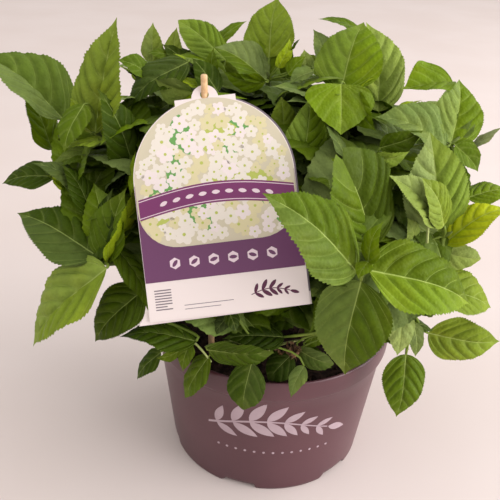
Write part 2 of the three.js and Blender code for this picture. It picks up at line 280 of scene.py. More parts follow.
def net_group():
    """The small raised net of a leaf's finest veins, as a bump and a little wear of the gloss."""
    group, source, out = new_group(
        "leaf_net", {"Normal": "NodeSocketVector", "Roughness": "NodeSocketFloat"},
        Scale=340.0, Strength=0.5, Depth=0.0008,
    )
    place = group.nodes.new("ShaderNodeTexCoord").outputs["Object"]
    cells = group.nodes.new("ShaderNodeTexVoronoi")
    cells.feature = "SMOOTH_F1"
    feed(group, cells, {"Vector": place, "Scale": source["Scale"], "Smoothness": 0.35})
    pillow = add_math(group, "SUBTRACT", 1.0, cells.outputs["Distance"])
    worn = add_range(group, add_noise(group, 160, 2.0), 0.3, 0.7, 0.4, 0.6)
    feed(group, out, {"Normal": add_bump(group, source, pillow), "Roughness": worn})
    return group


GROUPS = {"mottle": mottle_group(), "grain": grain_group(), "leaf": leaf_group(), "net": net_group()}

# Each mottled finish: its lighter and darker paint, the mottle's scale, its roughness and its shine, and
# where it has a grain, that grain's scale, strength and depth.
MOTTLED = {
    "petiole_green": ((124, 142, 56), (100, 120, 40), 60, 0.5, 0.25),
    "bough_green": ((104, 120, 50), (78, 88, 42), 90, 0.6, 0.25),
    "stalk_pale": ((168, 178, 112), (146, 158, 88), 60, 0.5, 0.25),
    "husk_brown": ((136, 104, 74), (52, 36, 26), 200, 0.85, 0.2, (600, 0.6, 0.0006)),
    "stem_bark": ((128, 108, 84), (92, 74, 58), 160, 0.85, 0.3, (700, 0.5, 0.0006)),
    "pot_plum": ((86, 48, 56), (79, 43, 51), 14, 0.38, 0.6, (1500, 0.12, 0.0003)),
    "pot_print": ((178, 158, 165), (168, 147, 154), 60, 0.55, 0.3),
    "compost_brown": ((58, 42, 36), (24, 17, 15), 180, 0.95, 0.1, (500, 0.8, 0.001)),
    "bamboo_cane": ((224, 188, 146), (196, 156, 112), 260, 0.55, 0.3, (900, 0.4, 0.0005)),
    "floor_paper": ((224, 212, 208), (220, 207, 202), 3, 0.9, 0.1),
}
INK_GRAIN = (1800, 0.12, 0.0002)


def new_finish(name, roughness, shine, color=None):
    """A material, its node tree and its shader."""
    finish = bpy.data.materials.new(name)
    finish.use_nodes = True
    tree = finish.node_tree
    shader = tree.nodes["Principled BSDF"]
    feed(tree, shader, {"Roughness": roughness, "Specular IOR Level": shine})
    if color:
        shader.inputs["Base Color"].default_value = color
    return finish, tree, shader


def add_group(tree, name, **values):
    node = tree.nodes.new("ShaderNodeGroup")
    node.node_tree = GROUPS[name]
    feed(tree, node, values)
    return node.outputs


def add_grain(tree, shader, grain):
    raised = add_group(tree, "grain", Scale=grain[0], Strength=grain[1], Depth=grain[2])
    feed(tree, shader, {"Normal": raised["Normal"]})


def mottled_finish(name):
    light, dark, scale, roughness, shine, *grains = MOTTLED[name]
    finish, tree, shader = new_finish(name, roughness, shine)
    mottle = add_group(tree, "mottle", Light=paint(*light), Dark=paint(*dark), Scale=scale)
    feed(tree, shader, {"Base Color": mottle["Color"]})
    for grain in grains:
        add_grain(tree, shader, grain)
    return finish


def ink_finish(name, color):
    """A printed colour under a thin coat, on smooth card."""
    finish, tree, shader = new_finish(name, 0.42, 0.4, color)
    add_grain(tree, shader, INK_GRAIN)
    return finish


def blade_finish(name, green, vein):
    finish, tree, shader = new_finish(name, 0.48, 0.07)
    net = add_group(tree, "net", Scale=420, Strength=0.6, Depth=0.0007)
    color = add_group(tree, "leaf", Green=green, Vein=vein)["Color"]
    feed(tree, shader, {"Base Color": color, "Normal": net["Normal"], "Roughness": net["Roughness"]})
    return finish


def leaf_finishes(tint):
    """A leaf's three finishes: its blade, its midrib and its side veins."""
    rib = blend_paint(TINTS[tint], RIB_GREEN, 0.66)
    vein = blend_paint(TINTS[tint], RIB_GREEN, 0.34)
    finishes = [blade_finish("leaf_" + tint, paint(*TINTS[tint]), rib)]
    for part, color in (("rib_", rib), ("side_vein_", vein)):
        finishes.append(new_finish(part + tint, 0.5, 0.2, color)[0])
    return finishes


# ---------------------------------------------------------------- pieces

def put(name, mesh, finishes, replaces=()):
    """Makes a finished piece of a mesh, riding with the plant."""
    mesh.name = name
    piece = new_object(name, mesh)
    for finish in finishes:
        mesh.materials.append(finish)
    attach(piece, "root")
    if replaces:
        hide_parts(*replaces)


def mesh_of(shape, smooth=True):
    """Turns a bmesh in millimetres into a mesh in metres."""
    bmesh.ops.scale(shape, vec=(MM, MM, MM), verts=shape.verts)
    mesh = bpy.data.meshes.new("piece")
    shape.to_mesh(mesh)
    shape.free()
    if smooth:
        mesh.shade_smooth()
    return mesh


class Bundle:
    """Many small shapes of one kind, joined into one mesh."""

    def __init__(self):
        self.points = []
        self.faces = []
        self.count = 0

    def add(self, points, faces):
        self.faces.extend([[corner + self.count for corner in face] for face in faces])
        self.points.append(points)
        self.count += len(points)

    def mesh(self):
        mesh = bpy.data.meshes.new("bundle")
        mesh.from_pydata((np.concatenate(self.points) * MM).tolist(), [], self.faces)
        mesh.shade_smooth()
        return mesh


class LeafBundle(Bundle):
    """Leaves of one green, each with its own square of the map."""

    def __init__(self):
        super().__init__()
        self.slots = []
        self.flats = []
        self.shades = {"between_veins": [], "leaf_tone_and_shade": [], "leaf_painted_sheen": []}

    def add_leaf(self, grid, leaf, tone, bloom):
        """Adds a leaf with painted light on each half: a value above zero pales that half with a painted
        sheen, one below zero darkens it with painted shade.
        """
        points, between, flat = leaf
        self.add(points, grid.faces)
        self.slots.extend(grid.slots)
        self.flats.append(flat)
        point_painted_light = grid.by_half(bloom)
        self.shades["between_veins"].append(between)
        # painted shade darkens the tone; painted sheen is kept apart for the shader
        self.shades["leaf_tone_and_shade"].append(tone * (1 + np.minimum(point_painted_light, 0)))
        self.shades["leaf_painted_sheen"].append(np.maximum(point_painted_light, 0))

    def mesh(self):
        mesh = super().mesh()
        mesh.polygons.foreach_set("material_index", self.slots)
        across = math.ceil(math.sqrt(len(self.flats)))
        places = []
        for number, flat in enumerate(self.flats):
            corner = np.array((number % across, number // across), float)
            places.append((corner + 0.04 + 0.92 * flat) / across)
        layer = mesh.uv_layers.new(name="OFBake")
        loops = np.empty(len(mesh.loops), np.int32)
        mesh.loops.foreach_get("vertex_index", loops)
        layer.data.foreach_set("uv", np.concatenate(places)[loops].astype(np.float32).ravel())
        for label, values in self.shades.items():
            attribute = mesh.attributes.new(label, "FLOAT", "POINT")
            attribute.data.foreach_set("value", np.concatenate(values).astype(np.float32))
        return mesh


def unit(way):
    return way / max(np.linalg.norm(way), 1e-9)


def polar(radius, angle, height):
    turn = math.radians(angle)
    return np.array((radius * math.cos(turn), radius * math.sin(turn), height))


def tube(path, radii, sides=6):
    """A closed round rod along a path, as points and faces."""
    path = np.asarray(path, float)
    ways = np.gradient(path, axis=0)
    ways /= np.linalg.norm(ways, axis=1)[:, None]
    side = unit(np.cross(ways[0], (0.31, 0.22, 0.93)))
    angles = np.arange(sides) * 2 * math.pi / sides
    rings = []
    for point, way, radius in zip(path, ways, radii):
        side = unit(side - way * side.dot(way))
        ring = np.cos(angles)[:, None] * side + np.sin(angles)[:, None] * np.cross(way, side)
        rings.append(point + radius * ring)
    faces = []
    for low in range(0, (len(path) - 1) * sides, sides):
        for step in range(sides):
            after = (step + 1) % sides
            faces.append([low + step, low + after, low + sides + after, low + sides + step])
    last = (len(path) - 1) * sides
    faces.append(list(range(sides))[::-1])
    faces.append(list(range(last, last + sides)))
    return np.concatenate(rings), faces


def bend(start, start_way, end, end_way, steps):
    """A smooth path between two points that leaves and arrives along given ways."""
    reach = np.linalg.norm(end - start) / 3
    near = start + start_way * reach
    far = end - end_way * reach
    share = np.linspace(0, 1, steps)[:, None]
    rest = 1 - share
    return rest**3 * start + 3 * rest**2 * share * near + 3 * rest * share**2 * far + share**3 * end


def curve_through(start, middle, end, steps):
    """A path of one curve, half-way at the middle point."""
    share = np.linspace(0, 1, steps)[:, None]
    pull = 2 * middle - (start + end) / 2
    return (1 - share) ** 2 * start + 2 * share * (1 - share) * pull + share**2 * end


def spun(profile, steps):
    """A profile spun round the pot's axis."""
    shape = bmesh.new()
    corners = [shape.verts.new((radius, 0, height)) for radius, height in profile]
    edges = [shape.edges.new(pair) for pair in zip(corners, corners[1:])]
    bmesh.ops.spin(
        shape, geom=corners + edges, cent=(0, 0, 0), axis=(0, 0, 1), angle=2 * math.pi, steps=steps,
        use_merge=True,
    )
    bmesh.ops.remove_doubles(shape, verts=shape.verts, dist=0.02)
    return shape


# ---------------------------------------------------------------- leaves

class LeafGrid:
    """The rows and columns of a leaf. Rows run out along the side veins, columns along the midrib."""

    def __init__(self, veins, rows_between, columns):
        # each row's place along the leaf, how far it swells, its tooth, and its side of a vein
        rows = [(place, swell, 0, 0) for place, swell in ((0.02, 0.1), (0.06, 0.35), (0.1, 0.6), (0.15, 0.5))]
        places = [0.2 + 0.7 * (number / (veins - 1)) ** 0.9 for number in range(veins)]
        for place, after in zip(places, places[1:] + [None]):
            rows += [(place, 0, 0.6, -1), (place, 0, 0.6, 1)]
            for row in range(1, rows_between + 1) if after else ():
                share = row / (rows_between + 1)
                swell = math.sin(math.pi * share) ** 0.62
                rows.append((place + (after - place) * share, swell, 1.0 if row % 2 == 0 else -0.5, 0))
        rows += [(0.925, 0.25, -0.5, 0), (0.95, 0.25, 0.8, 0), (0.972, 0.25, -0.3, 0), (0.997, 0.25, 0.0, 0)]
        self.edge, self.swell, self.tooth, self.shift = np.array(rows, float).T
        outward = np.array(columns)
        self.out = np.concatenate((-outward[::-1], (0.0,), outward))
        self.faces, self.slots = self.make_faces()

    def by_half(self, halves):
        """A value for each point: one for the left half, one for the right, and their mean on the midrib."""
        left, right = halves
        values = np.where(self.out < 0, left, np.where(self.out > 0, right, (left + right) / 2))
        return np.tile(values, len(self.edge))

    def make_faces(self):
        """The faces, and for each its finish: 0 the blade, 1 the midrib, 2 a side vein."""
        faces, slots = [], []
        across = len(self.out)
        middle = across // 2
        for row in range(len(self.edge) - 1):
            for column in range(across - 1):
                low = row * across + column
                faces.append([low, low + 1, low + across + 1, low + across])
                if column in (middle - 1, middle) and row < len(self.edge) - 4:
                    slots.append(1)
                elif self.shift[row] < 0 and 1 < column < across - 3:
                    slots.append(2)
                else:
                    slots.append(0)
        return faces, slots


RIB = 0.02
FINE = LeafGrid(7, 7, (RIB, 0.09, 0.18, 0.28, 0.38, 0.48, 0.58, 0.68, 0.78, 0.87, 0.95, 1.0))
PLAIN = LeafGrid(6, 3, (RIB, 0.2, 0.42, 0.65, 0.86, 1.0))
SMALL = LeafGrid(5, 3, (RIB, 0.3, 0.65, 1.0))

# Parts of a leaf, as shares of its length: the veins' and midrib's widths, the teeth and the dimples.
LEAF = {
    "vein_rim": 0.0016, "vein_root": 0.0026, "vein_back": 1.15, "vein_curve": 0.64, "rib": 0.0072,
    "tooth_out": 0.0105, "tooth_forward": 0.0082, "dimple": 0.0034, "crest": 1.25,
}


def blade(base, tip, up, half_width, grid, arch=0.1, folds=(0.3, 0.3), droop=0.16, twist=0.0, wave=0.03,
          quilt=0.03, point=1.2, heel=0.6, sway=0.0, seed=0):
    """A leaf's points, with its upper face towards up, their nearness to veins and their map."""
    dice = random.Random(seed)
    length = np.linalg.norm(tip - base)
    along = (tip - base) / length
    up = unit(up - along * up.dot(along))
    right = np.cross(along, up)
    ratio = half_width / length
    widest = heel / (heel + point)
    most = widest**heel * (1 - widest) ** point
    edge = grid.edge + grid.shift * LEAF["vein_rim"]
    reach = ratio * edge**heel * (1 - edge) ** point / most
    reach = reach * (1 - 0.3 * np.clip((edge - 0.8) / 0.15, 0, 1))
    start = grid.edge - LEAF["vein_back"] * ratio * grid.edge**heel * (1 - grid.edge) ** point / most
    start = 0.5 * (start + np.sqrt(start * start + 0.001)) + grid.shift * LEAF["vein_root"]
    out = np.abs(grid.out)[None, :]
    hand = np.sign(grid.out)[None, :]
    rib = (LEAF["rib"] * (1 - 0.8 * start))[:, None]
    x = np.where(out == RIB, rib, reach[:, None] * out)
    x = np.where(out > RIB, np.maximum(x, rib + 0.0006 * out), x)
    swing_out = np.where(out > RIB, out, 0)
    curve = (1 - LEAF["vein_curve"]) * swing_out + LEAF["vein_curve"] * swing_out**2
    y = start[:, None] + (edge - start)[:, None] * curve
    # the saw teeth of the rim
    rim = (out == 1.0) * np.minimum(1, reach / (0.5 * ratio))[:, None]
    bite = np.array([dice.uniform(0.5, 1.2) for _ in grid.edge])
    x = x + rim * LEAF["tooth_out"] * (grid.tooth * bite)[:, None]
    y = y + rim * LEAF["tooth_forward"] * (np.maximum(grid.tooth, 0) * bite)[:, None]
    # the blade's relief: pillows between the veins, a dimpled face, a rippled rim that turns down
    share = np.clip(x / np.maximum(reach[:, None], 1e-6), 0, 1)
    swollen = grid.swell * np.minimum(1, reach / (0.7 * ratio)) * np.clip((start - 0.01) / 0.09, 0.15, 1)
    swollen = swollen[:, None]
    lift = quilt * swollen * np.clip(share / 0.2, 0, 1) * (1 - 0.7 * share**3)
    phases = [dice.uniform(0, 6.3) for _ in range(4)]
    run = y - 0.3 * x
    dimple = np.sin(88 * x + phases[2] + hand + 2 * np.sin(31 * run))
    dimple = LEAF["dimple"] * dimple * np.sin(76 * run + phases[3] + 2 * np.sin(29 * x))
    lift = lift + dimple * np.clip(share / 0.15, 0, 1) * (1 - share**6) * np.clip(swollen / 0.5, 0, 1)
    left_ripple = np.sin(2 * math.pi * 2.1 * y + phases[0])
    right_ripple = np.sin(2 * math.pi * 1.8 * y + phases[1])
    lift = lift + wave * (x / ratio) ** 2 * np.where(hand < 0, left_ripple, right_ripple) * ratio * 2
    lift = lift - droop * x * x / ratio
    # the midrib's bow
    crest = LEAF["crest"]
    place = np.clip(y, 0.0001, 1)
    bow = arch * np.sin(math.pi * place**crest)
    slope = arch * math.pi * crest * place ** (crest - 1) * np.cos(math.pi * place**crest)
    swing = sway * np.sin(math.pi * place)
    swing_slope = sway * math.pi * np.cos(math.pi * place)
    centre = base + length * (place[..., None] * along + bow[..., None] * up + swing[..., None] * right)
    tangent = along + slope[..., None] * up + swing_slope[..., None] * right
    tangent /= np.linalg.norm(tangent, axis=-1)[..., None]
    normal = up - tangent * (tangent @ up)[..., None]
    normal /= np.linalg.norm(normal, axis=-1)[..., None]
    side = np.cross(tangent, normal)
    angle = twist * (place - 0.35)
    turned_side = np.cos(angle)[..., None] * side - np.sin(angle)[..., None] * normal
    turned_normal = np.cos(angle)[..., None] * normal + np.sin(angle)[..., None] * side
    fold = np.where(hand < 0, *folds) * (1 - 0.35 * place)
    across = x * hand * np.cos(fold)
    raised = x * np.sin(fold) + lift
    points = centre + length * (across[..., None] * turned_side + raised[..., None] * turned_normal)
    between = grid.swell[:, None] * np.clip(share / 0.2, 0, 1)
    flat = np.stack((0.5 + 0.5 * np.clip(x * hand / (ratio * 1.12), -1, 1), np.clip(y, 0, 1.02) / 1.02), -1)
    return points.reshape(-1, 3), between.reshape(-1), flat.reshape(-1, 2)


# Leaf greens, from deepest to palest. They are partly the leaves' own greens and partly painted light and
# shade:
# a leaf that shows was given a darker or lighter green to look as shaded or as lit as it is where it sits.
TINTS = {
    "deep": (44, 61, 9),
    "dark": (57, 76, 11),
    "mid": (79, 100, 15),
    "bright": (99, 123, 15),
    "light": (117, 137, 38),
    "grey": (106, 126, 62),
    "young": (134, 156, 26),
    "gold": (150, 165, 22),
    "pale": (138, 148, 96),
}
RIB_GREEN = (176, 190, 112)

# The leaves that show at the front, shoot by shoot: the spot and plane of each one's base and tip, how wide
# its left and right halves look, its arch and its green, and where given, its shape and the painted light on
# each half, a painted sheen above zero and painted shade below. A leaf's number is its seed, so their order
# stays.
SHOWN = (
    ("left_outer", {
        "outer_left_big": ((64, 120), 8, (-22, 56), 20, (7, 42), 0.11, "mid", {"bloom": (0.2, 0.06)}),
        "outer_left_back": ((52, 150), 24, (20, 84), 36, (11, 17), 0.08, "bright"),
    }),
    ("left_top", {
        "tall": ((95, 133), -24, (117, 17), 0, (32, 12), 0.02, "light", {"bloom": (0.04, -0.02)}),
        "front": ((135, 172), -34, (97, 88), -32, (19, 22), 0.08, "dark"),
        "drop": ((84, 104), -34, (64, 153), -58, (14, 13), 0.12, "mid"),
        "strip": ((104, 139), -40, (62, 150), -54, (4, 5), 0.06, "light"),
    }),
    ("left_back_top", {
        "left_top_far": ((147, 72), 30, (117, 60), 20, (7, 13), 0.1, "mid"),
        "back_top_narrow": ((153, 64), 78, (153, 22), 82, (11, 12), 0.05, "light", {"bloom": (0.25, 0.1)}),
        "back_top_sweep": ((188, 62), 34, (126, 110), 8, (12, 20), 0.12, "dark", {"bloom": (0, 0.06)}),
    }),
    ("left_middle", {
        "tip": ((56, 176), -34, (2, 184), -30, (9, 16), 0.1, "dark"),
        "over": ((92, 194), -42, (32, 163), -48, (10, 12), 0.1, "grey", {"bloom": (-0.35, -0.3)}),
    }),
    ("left_front", {
        "wide": ((97, 256), -86, (17, 213), -60, (25, 30), 0.1, "dark", {"bloom": (0.08, -0.1)}),
        "low": ((107, 268), -104, (33, 347), -106, (12, 34), 0.08, "light", {"bloom": (0, 0.12)}),
        "edge": ((107, 262), -88, (126, 188), -66, (27, 8), 0.06, "mid", {"bloom": (-0.1, 0)}),
        "strip": (
            (108, 262), -90, (138, 168), -68, (3, 15), 0.04, "young", {"bloom": (-0.1, -0.2), "point": 1.5},
        ),
        "tip": ((133, 200), -68, (136, 150), -58, (3, 5), 0.05, "bright"),
        "inner": ((104, 262), -80, (113, 188), -58, (13, 12), 0.1, "deep"),
    }),
    ("left_middle", {
        "left_front_back": ((92, 214), -58, (61, 164), -46, (13, 12), 0.1, "dark"),
    }),
    ("left_front", {
        "under": ((116, 246), -82, (149, 314), -104, (12, 14), 0.1, "mid"),
    }),
    ("left_lower", {
        "out": ((143, 290), -92, (95, 342), -100, (19, 25), 0.12, "mid", {"bloom": (-0.36, -0.25)}),
        "wide": ((196, 341), -108, (119, 337), -112, (15, 15), 0.1, "dark"),
        "drop": ((161, 352), -98, (137, 380), -100, (8, 9), 0.1, "dark"),
        "small": ((178, 352), -104, (156, 358), -106, (7, 3), 0.1, "mid"),
        "short": ((190, 342), -106, (183, 372), -112, (8, 8), 0.1, "mid"),
    }),
    ("front_lower", {
        "front_low_left": ((209, 356), -108, (185, 398), -117, (12, 11), 0.06, "mid", {"point": 0.8}),
        "front_low_side": ((208, 350), -108, (274, 352), -112, (7, 17), 0.05, "dark", {"point": 0.8}),
        "front_low_drop": (
            (252, 362), -112, (243, 410), -126, (18, 20), 0.1, "dark",
            {"heel": 0.7, "point": 0.8, "bloom": (0.04, 0)},
        ),
        "front_low_right": ((304, 366), -112, (291, 398), -123, (9, 8), 0.1, "grey"),
    }),
    ("front_inner", {
        "front_low_round": (
            (298, 350), -96, (334, 364), -104, (7, 12), 0.1, "dark", {"bloom": (0.1, 0.05), "point": 0.7},
        ),
        "front_low_deep": ((292, 354), -96, (268, 380), -103, (15, 14), 0.06, "deep", {"point": 0.8}),
        "front_low_dusk": ((304, 350), -94, (332, 368), -101, (8, 12), 0.08, "dark"),
    }),
    ("front_lower", {
        "front_in_left": ((230, 314), -98, (213, 337), -108, (7, 8), 0.1, "deep", {"bloom": (0.08, 0.08)}),
        "front_in_right": ((229, 312), -104, (236, 333), -112, (8, 7), 0.1, "deep"),
    }),
    ("front_inner", {
        "front_in_olive": ((327, 318), -88, (306, 350), -96, (13, 14), 0.08, "mid"),
        "front_in_wide": ((284, 337), -96, (222, 339), -106, (12, 16), 0.06, "deep", {"bloom": (-0.2, -0.2)}),
    }),
    ("front_right", {
        "front_big_left": (
            (357, 272), -138, (262, 193), -150, (31, 37), 0.1, "mid",
            {"bloom": (0.08, -0.04), "heel": 0.66, "point": 1.1},
        ),
        "front_big_right": (
            (368, 270), -138, (470, 304), -112, (39, 26), 0.1, "bright", {"bloom": (-0.38, 0.02)},
        ),
        "front_big_low": ((361, 281), -140, (345, 375), -150, (39, 37), 0.12, "mid", {"bloom": (-0.2, 0.12)}),
        "front_young_up": ((368, 263), -138, (384, 221), -136, (10, 11), 0.14, "bright"),
        "front_young_left": ((368, 262), -140, (358, 279), -150, (8, 9), 0.16, "bright"),
    }),
    ("right_upper", {
        "low": ((430, 288), -74, (491, 308), -60, (27, 14), 0.1, "light"),
        "back": ((414, 242), -66, (407, 217), -72, (8, 8), 0.1, "light", {"bloom": (0.2, 0.2)}),
    }),
    ("right_lower", {
        "pale": ((402, 312), -98, (397, 356), -106, (14, 13), 0.1, "light", {"bloom": (0.4, 0.4)}),
        "grey": ((414, 324), -92, (415, 357), -98, (9, 7), 0.1, "grey", {"bloom": (-0.35, -0.3)}),
        "stub": ((408, 322), -76, (433, 331), -62, (5, 5), 0.06, "dark"),
        "out": ((428, 333), -62, (500, 341), -50, (18, 24), 0.1, "light"),
        "drop": ((406, 354), -88, (396, 417), -100, (21, 20), 0.12, "mid"),
    }),
    ("right_upper", {
        "pale": (
            (437, 250), -58, (481, 259), -54, (11, 15), 0.08, "light", {"bloom": (0.3, 0.2), "point": 0.8},
        ),
        "gold": ((444, 243), -62, (509, 208), -50, (21, 13), 0.14, "gold"),
    }),
    ("right_top", {
        "right_out": ((466, 198), -30, (512, 192), -12, (12, 10), 0.1, "bright"),
    }),
    ("right_upper", {
        "left": ((438, 222), -68, (388, 175), -76, (9, 23), 0.1, "light", {"bloom": (0.2, 0.35)}),
        "heart": (
            (444, 226), -70, (422, 178), -76, (11, 16), 0.12, "light", {"bloom": (0.1, -0.1), "point": 0.9},
        ),
        "tall": (
            (438, 234), -58, (430, 132), -48, (30, 34), 0.06, "bright", {"bloom": (0.42, 0.1), "point": 1.0},
        ),
    }),
    ("middle_right", {
        "wide": (
            (373, 246), -82, (338, 151), -90, (21, 42), 0.05, "mid",
            {"bloom": (-0.02, -0.34), "heel": 0.5, "point": 0.4},
        ),
        "side": ((364, 160), -60, (410, 151), -54, (4, 13), 0.1, "bright", {"bloom": (0.1, 0.1)}),
    }),
    ("right_top", {
        "middle_right_dark": (
            (380, 148), -36, (424, 130), -34, (10, 14), 0.1, "mid", {"bloom": (-0.2, -0.2)},
        ),
        "left": ((446, 147), -14, (375, 117), -18, (5, 31), 0.12, "grey", {"bloom": (-0.12, 0.0)}),
        "tall": ((451, 144), -10, (459, 79), 30, (20, 28), 0.1, "bright", {"bloom": (0.22, 0)}),
        "back": ((453, 82), 34, (400, 90), 14, (1, 29), 0.03, "bright", {"heel": 1.3, "point": 1.9}),
        "side": ((455, 145), -12, (478, 172), -20, (16, 6), 0.1, "mid"),
        "stalk": ((470, 149), 0, (503, 127), 10, (4, 5), 0.04, "pale"),
    }),
    ("top_right", {
        "cup": ((341, 90), 0, (364, 22), 44, (34, 32), 0.12, "bright", {"bloom": (0.08, 0)}),
        "rear": ((378, 112), 40, (366, 22), 70, (20, 29), 0.16, "light", {"bloom": (0.15, 0.15)}),
        "fold": (
            (341, 84), -18, (341, 135), -38, (36, 32), 0.01, "bright",
            {"bloom": (-0.3, -0.05), "heel": 0.34, "point": 0.95},
        ),
        "corner": ((350, 92), -6, (376, 131), -22, (9, 17), 0.08, "bright"),
        "horn": ((374, 40), 58, (318, 19), 46, (3, 6), 0.08, "mid"),
    }),
    ("top_middle", {
        "top_right_grey": ((328, 66), 46, (313, 29), 50, (8, 14), 0.08, "grey", {"bloom": (0.1, 0.1)}),
        "top_right_far": ((326, 74), 48, (300, 54), 52, (8, 8), 0.1, "light"),
        "top_mid_tall": ((269, 58), 38, (278, -3), 60, (29, 20), 0.08, "light"),
        "top_mid_left": ((266, 80), 28, (214, 47), 30, (8, 25), 0.1, "mid", {"bloom": (0, 0.3)}),
    }),
    ("top_left", {
        "crest": (
            (226, 60), 58, (178, 20), 78, (17, 15), 0.06, "bright", {"bloom": (0.1, 0.05), "point": 0.8},
        ),
        "far": ((212, 47), 82, (247, 21), 84, (6, 7), 0.06, "bright"),
        "side": ((173, 62), 70, (177, 27), 76, (10, 7), 0.05, "light", {"bloom": (0.1, 0.1)}),
        "low": ((176, 57), 64, (147, 53), 62, (5, 6), 0.08, "mid"),
        "small": ((213, 90), 34, (214, 47), 38, (9, 9), 0.08, "bright", {"bloom": (-0.1, -0.1)}),
    }),
    ("top_middle", {
        "top_mid_curl": ((265, 82), 18, (223, 71), 16, (13, 5), 0.12, "bright"),
    }),
    ("top_left", {
        "fall": ((192, 92), 8, (155, 79), 6, (21, 4), 0.06, "light", {"bloom": (0.2, 0.4)}),
        "gleam": ((200, 87), 16, (176, 79), 14, (2, 6), 0.06, "young"),
        "dark": ((218, 92), 10, (192, 58), 22, (12, 13), 0.1, "dark", {"bloom": (-0.15, -0.15)}),
        "screen": ((198, 76), 56, (162, 44), 70, (12, 12), 0.08, "dark"),
        "top_mid_screen": ((240, 76), 46, (232, 44), 54, (12, 14), 0.08, "light"),
    }),
    ("top_middle", {
        "top_mid_young": ((278, 68), 26, (290, 38), 26, (5, 9), 0.08, "young"),
        "top_mid_bud": ((288, 74), 22, (306, 56), 20, (9, 6), 0.1, "bright"),
        "top_mid_spike": ((291, 50), 26, (300, 39), 26, (1.5, 1.5), 0.04, "dark"),
        "top_mid_round": ((306, 74), 30, (304, 49), 34, (9, 10), 0.08, "light", {"bloom": (0.2, 0.2)}),
        "top_mid_dusk": ((286, 78), 30, (292, 46), 34, (9, 7), 0.08, "mid"),
        "top_mid_under": ((313, 71), 14, (289, 84), 6, (3, 11), 0.08, "grey", {"bloom": (-0.25, -0.15)}),
    }),
    ("middle_right", {
        "behind_card_one": ((284, 130), -8, (281, 96), -2, (13, 12), 0.05, "light"),
        "behind_card_two": (
            (303, 162), -34, (310, 96), -16, (19, 22), 0.06, "bright", {"bloom": (0.1, -0.1)},
        ),
        "behind_card_pale": ((346, 158), -44, (322, 118), -30, (5, 5), 0.05, "dark", {"bloom": (0.12, 0.12)}),
        "behind_card_low": ((332, 168), -44, (300, 175), -48, (6, 6), 0.08, "deep", {"bloom": (0.1, 0.1)}),
        "behind_card_gleam": ((336, 158), -46, (309, 161), -46, (3, 5), 0.06, "bright"),
    }),
)


def facing(base, tip, halves, half_width):
    """Which way a leaf's upper face looks and how far its halves fold up, from how wide each half looks."""
    along = unit(tip - base)
    middle = (base + tip) / 2
    to_eye = unit(EYE - middle)
    square = unit(to_eye - along * to_eye.dot(along))
    looks = [math.acos(min(0.985, width / (half_width * scale_at(middle)))) for width in halves]
    wide, narrow = min(looks), max(looks)
    roll = (wide + narrow) / 2
    fold = max((narrow - wide) / 2, 0.12)
    left = np.cross(square, along)
    towards = left if halves[0] > halves[1] else -left
    if abs(halves[0] - halves[1]) < 3:
        towards = left if left[2] > 0 else -left
    return square * math.cos(roll) + towards * math.sin(roll), fold


def tip_of(name):
    """Where a shoot's growing tip is, and the way it points."""
    place, turn, lift = SHOOTS[name]
    turn, lift = math.radians(turn), math.radians(lift)
    way = np.array((math.cos(lift) * math.cos(turn), math.cos(lift) * math.sin(turn), math.sin(lift)))
    return np.array(place, float) + way * TIP_REACH, way


leaves = {tint: LeafBundle() for tint in TINTS}
petioles = Bundle()

# The longest gap that needs no petiole, a petiole's thickness from shoot to leaf, and the length from
# which a leaf is made as a large one, where it shows and where it is grown by rule.
PETIOLE = {"gap": 3, "taper": (1.25, 1.05, 0.95, 0.9, 0.88, 0.86, 0.7)}
LARGE = {"shown": 45, "grown": 50}


def stalk(shoot_way, start, base, leaf_way, width):
    """A petiole from the shoot to a leaf's base, thickest at the shoot."""
    if np.linalg.norm(base - start) < PETIOLE["gap"]:
        return
    straight = unit(base - start)
    taper = np.array(PETIOLE["taper"])
    path = bend(start, unit(straight + 0.5 * shoot_way), base, unit(leaf_way + 0.6 * straight), len(taper))
    petioles.add(*tube(path, width * taper))


def grow_shown():
    """Every leaf that shows at the front, on a petiole from its shoot."""
    rows = [(shoot, row) for shoot, group in SHOWN for row in group.values()]
    for number, (shoot, row) in enumerate(rows):
        base_spot, base_plane, tip_spot, tip_plane, halves, arch, tint, *shaped = row
        # the painted light on each half: a painted sheen where above zero, painted shade where below, none
        # unless given
        shape = {"bloom": (0, 0), "point": 1.2, "heel": 0.6} | (shaped[0] if shaped else {})
        base, tip = sight(base_spot, base_plane), sight(tip_spot, tip_plane)
        length = np.linalg.norm(tip - base)
        half_width = max(0.3 * length, 1.03 * max(halves) / scale_at((base + tip) / 2))
        up, fold = facing(base, tip, halves, half_width)
        dice = random.Random(number)
        grid, petiole = (FINE, 1.6) if length > LARGE["shown"] else (SMALL, 1.0)
        leaf = blade(
            base, tip, up, half_width, grid, arch=arch, folds=(fold, fold),
            quilt=dice.uniform(0.02, 0.03) + 0.018 * min(1.0, length / 90), twist=dice.uniform(-0.2, 0.2),
            seed=number, wave=0.04, point=shape["point"], heel=shape["heel"],
        )
        leaves[tint].add_leaf(grid, leaf, dice.uniform(0.92, 1.08), shape["bloom"])
        apex, way = tip_of(shoot)
        stalk(way, apex - way * 10, base, unit(tip - base), petiole)


grow_shown()


# ---------------------------------------------------------------- leaves grown by rule

def mass_tree(node):
    corners = [vertex.co.copy() for vertex in node.data.vertices]
    return BVHTree.FromPolygons(corners, [tuple(face.vertices) for face in node.data.polygons])


def nodes_named(start):
    return [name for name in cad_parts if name.startswith(start)]


MASSES = [mass_tree(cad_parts[name]) for name in nodes_named("foliage_")]

CARD_AXES = tilted(CARD["turn"], CARD["lean"], CARD["tilt"])
CARD_TURN = np.array(CARD_AXES)
CARD_FOOT = np.array(CARD["foot"], float)

# How far leaves keep from the card, off its face, past its edge and in front of it.
CARD_GAPS = {"off": 5, "past": 3, "before": 2}

# The side of the small squares in which the shown leaves' nearness is kept, and how much of a leaf grown
# by rule may come in front of them.
CELL = 4
OVERLAP = 0.07

HEART = {"middle": (-18, 12, 262), "reach": (165, 130, 112)}

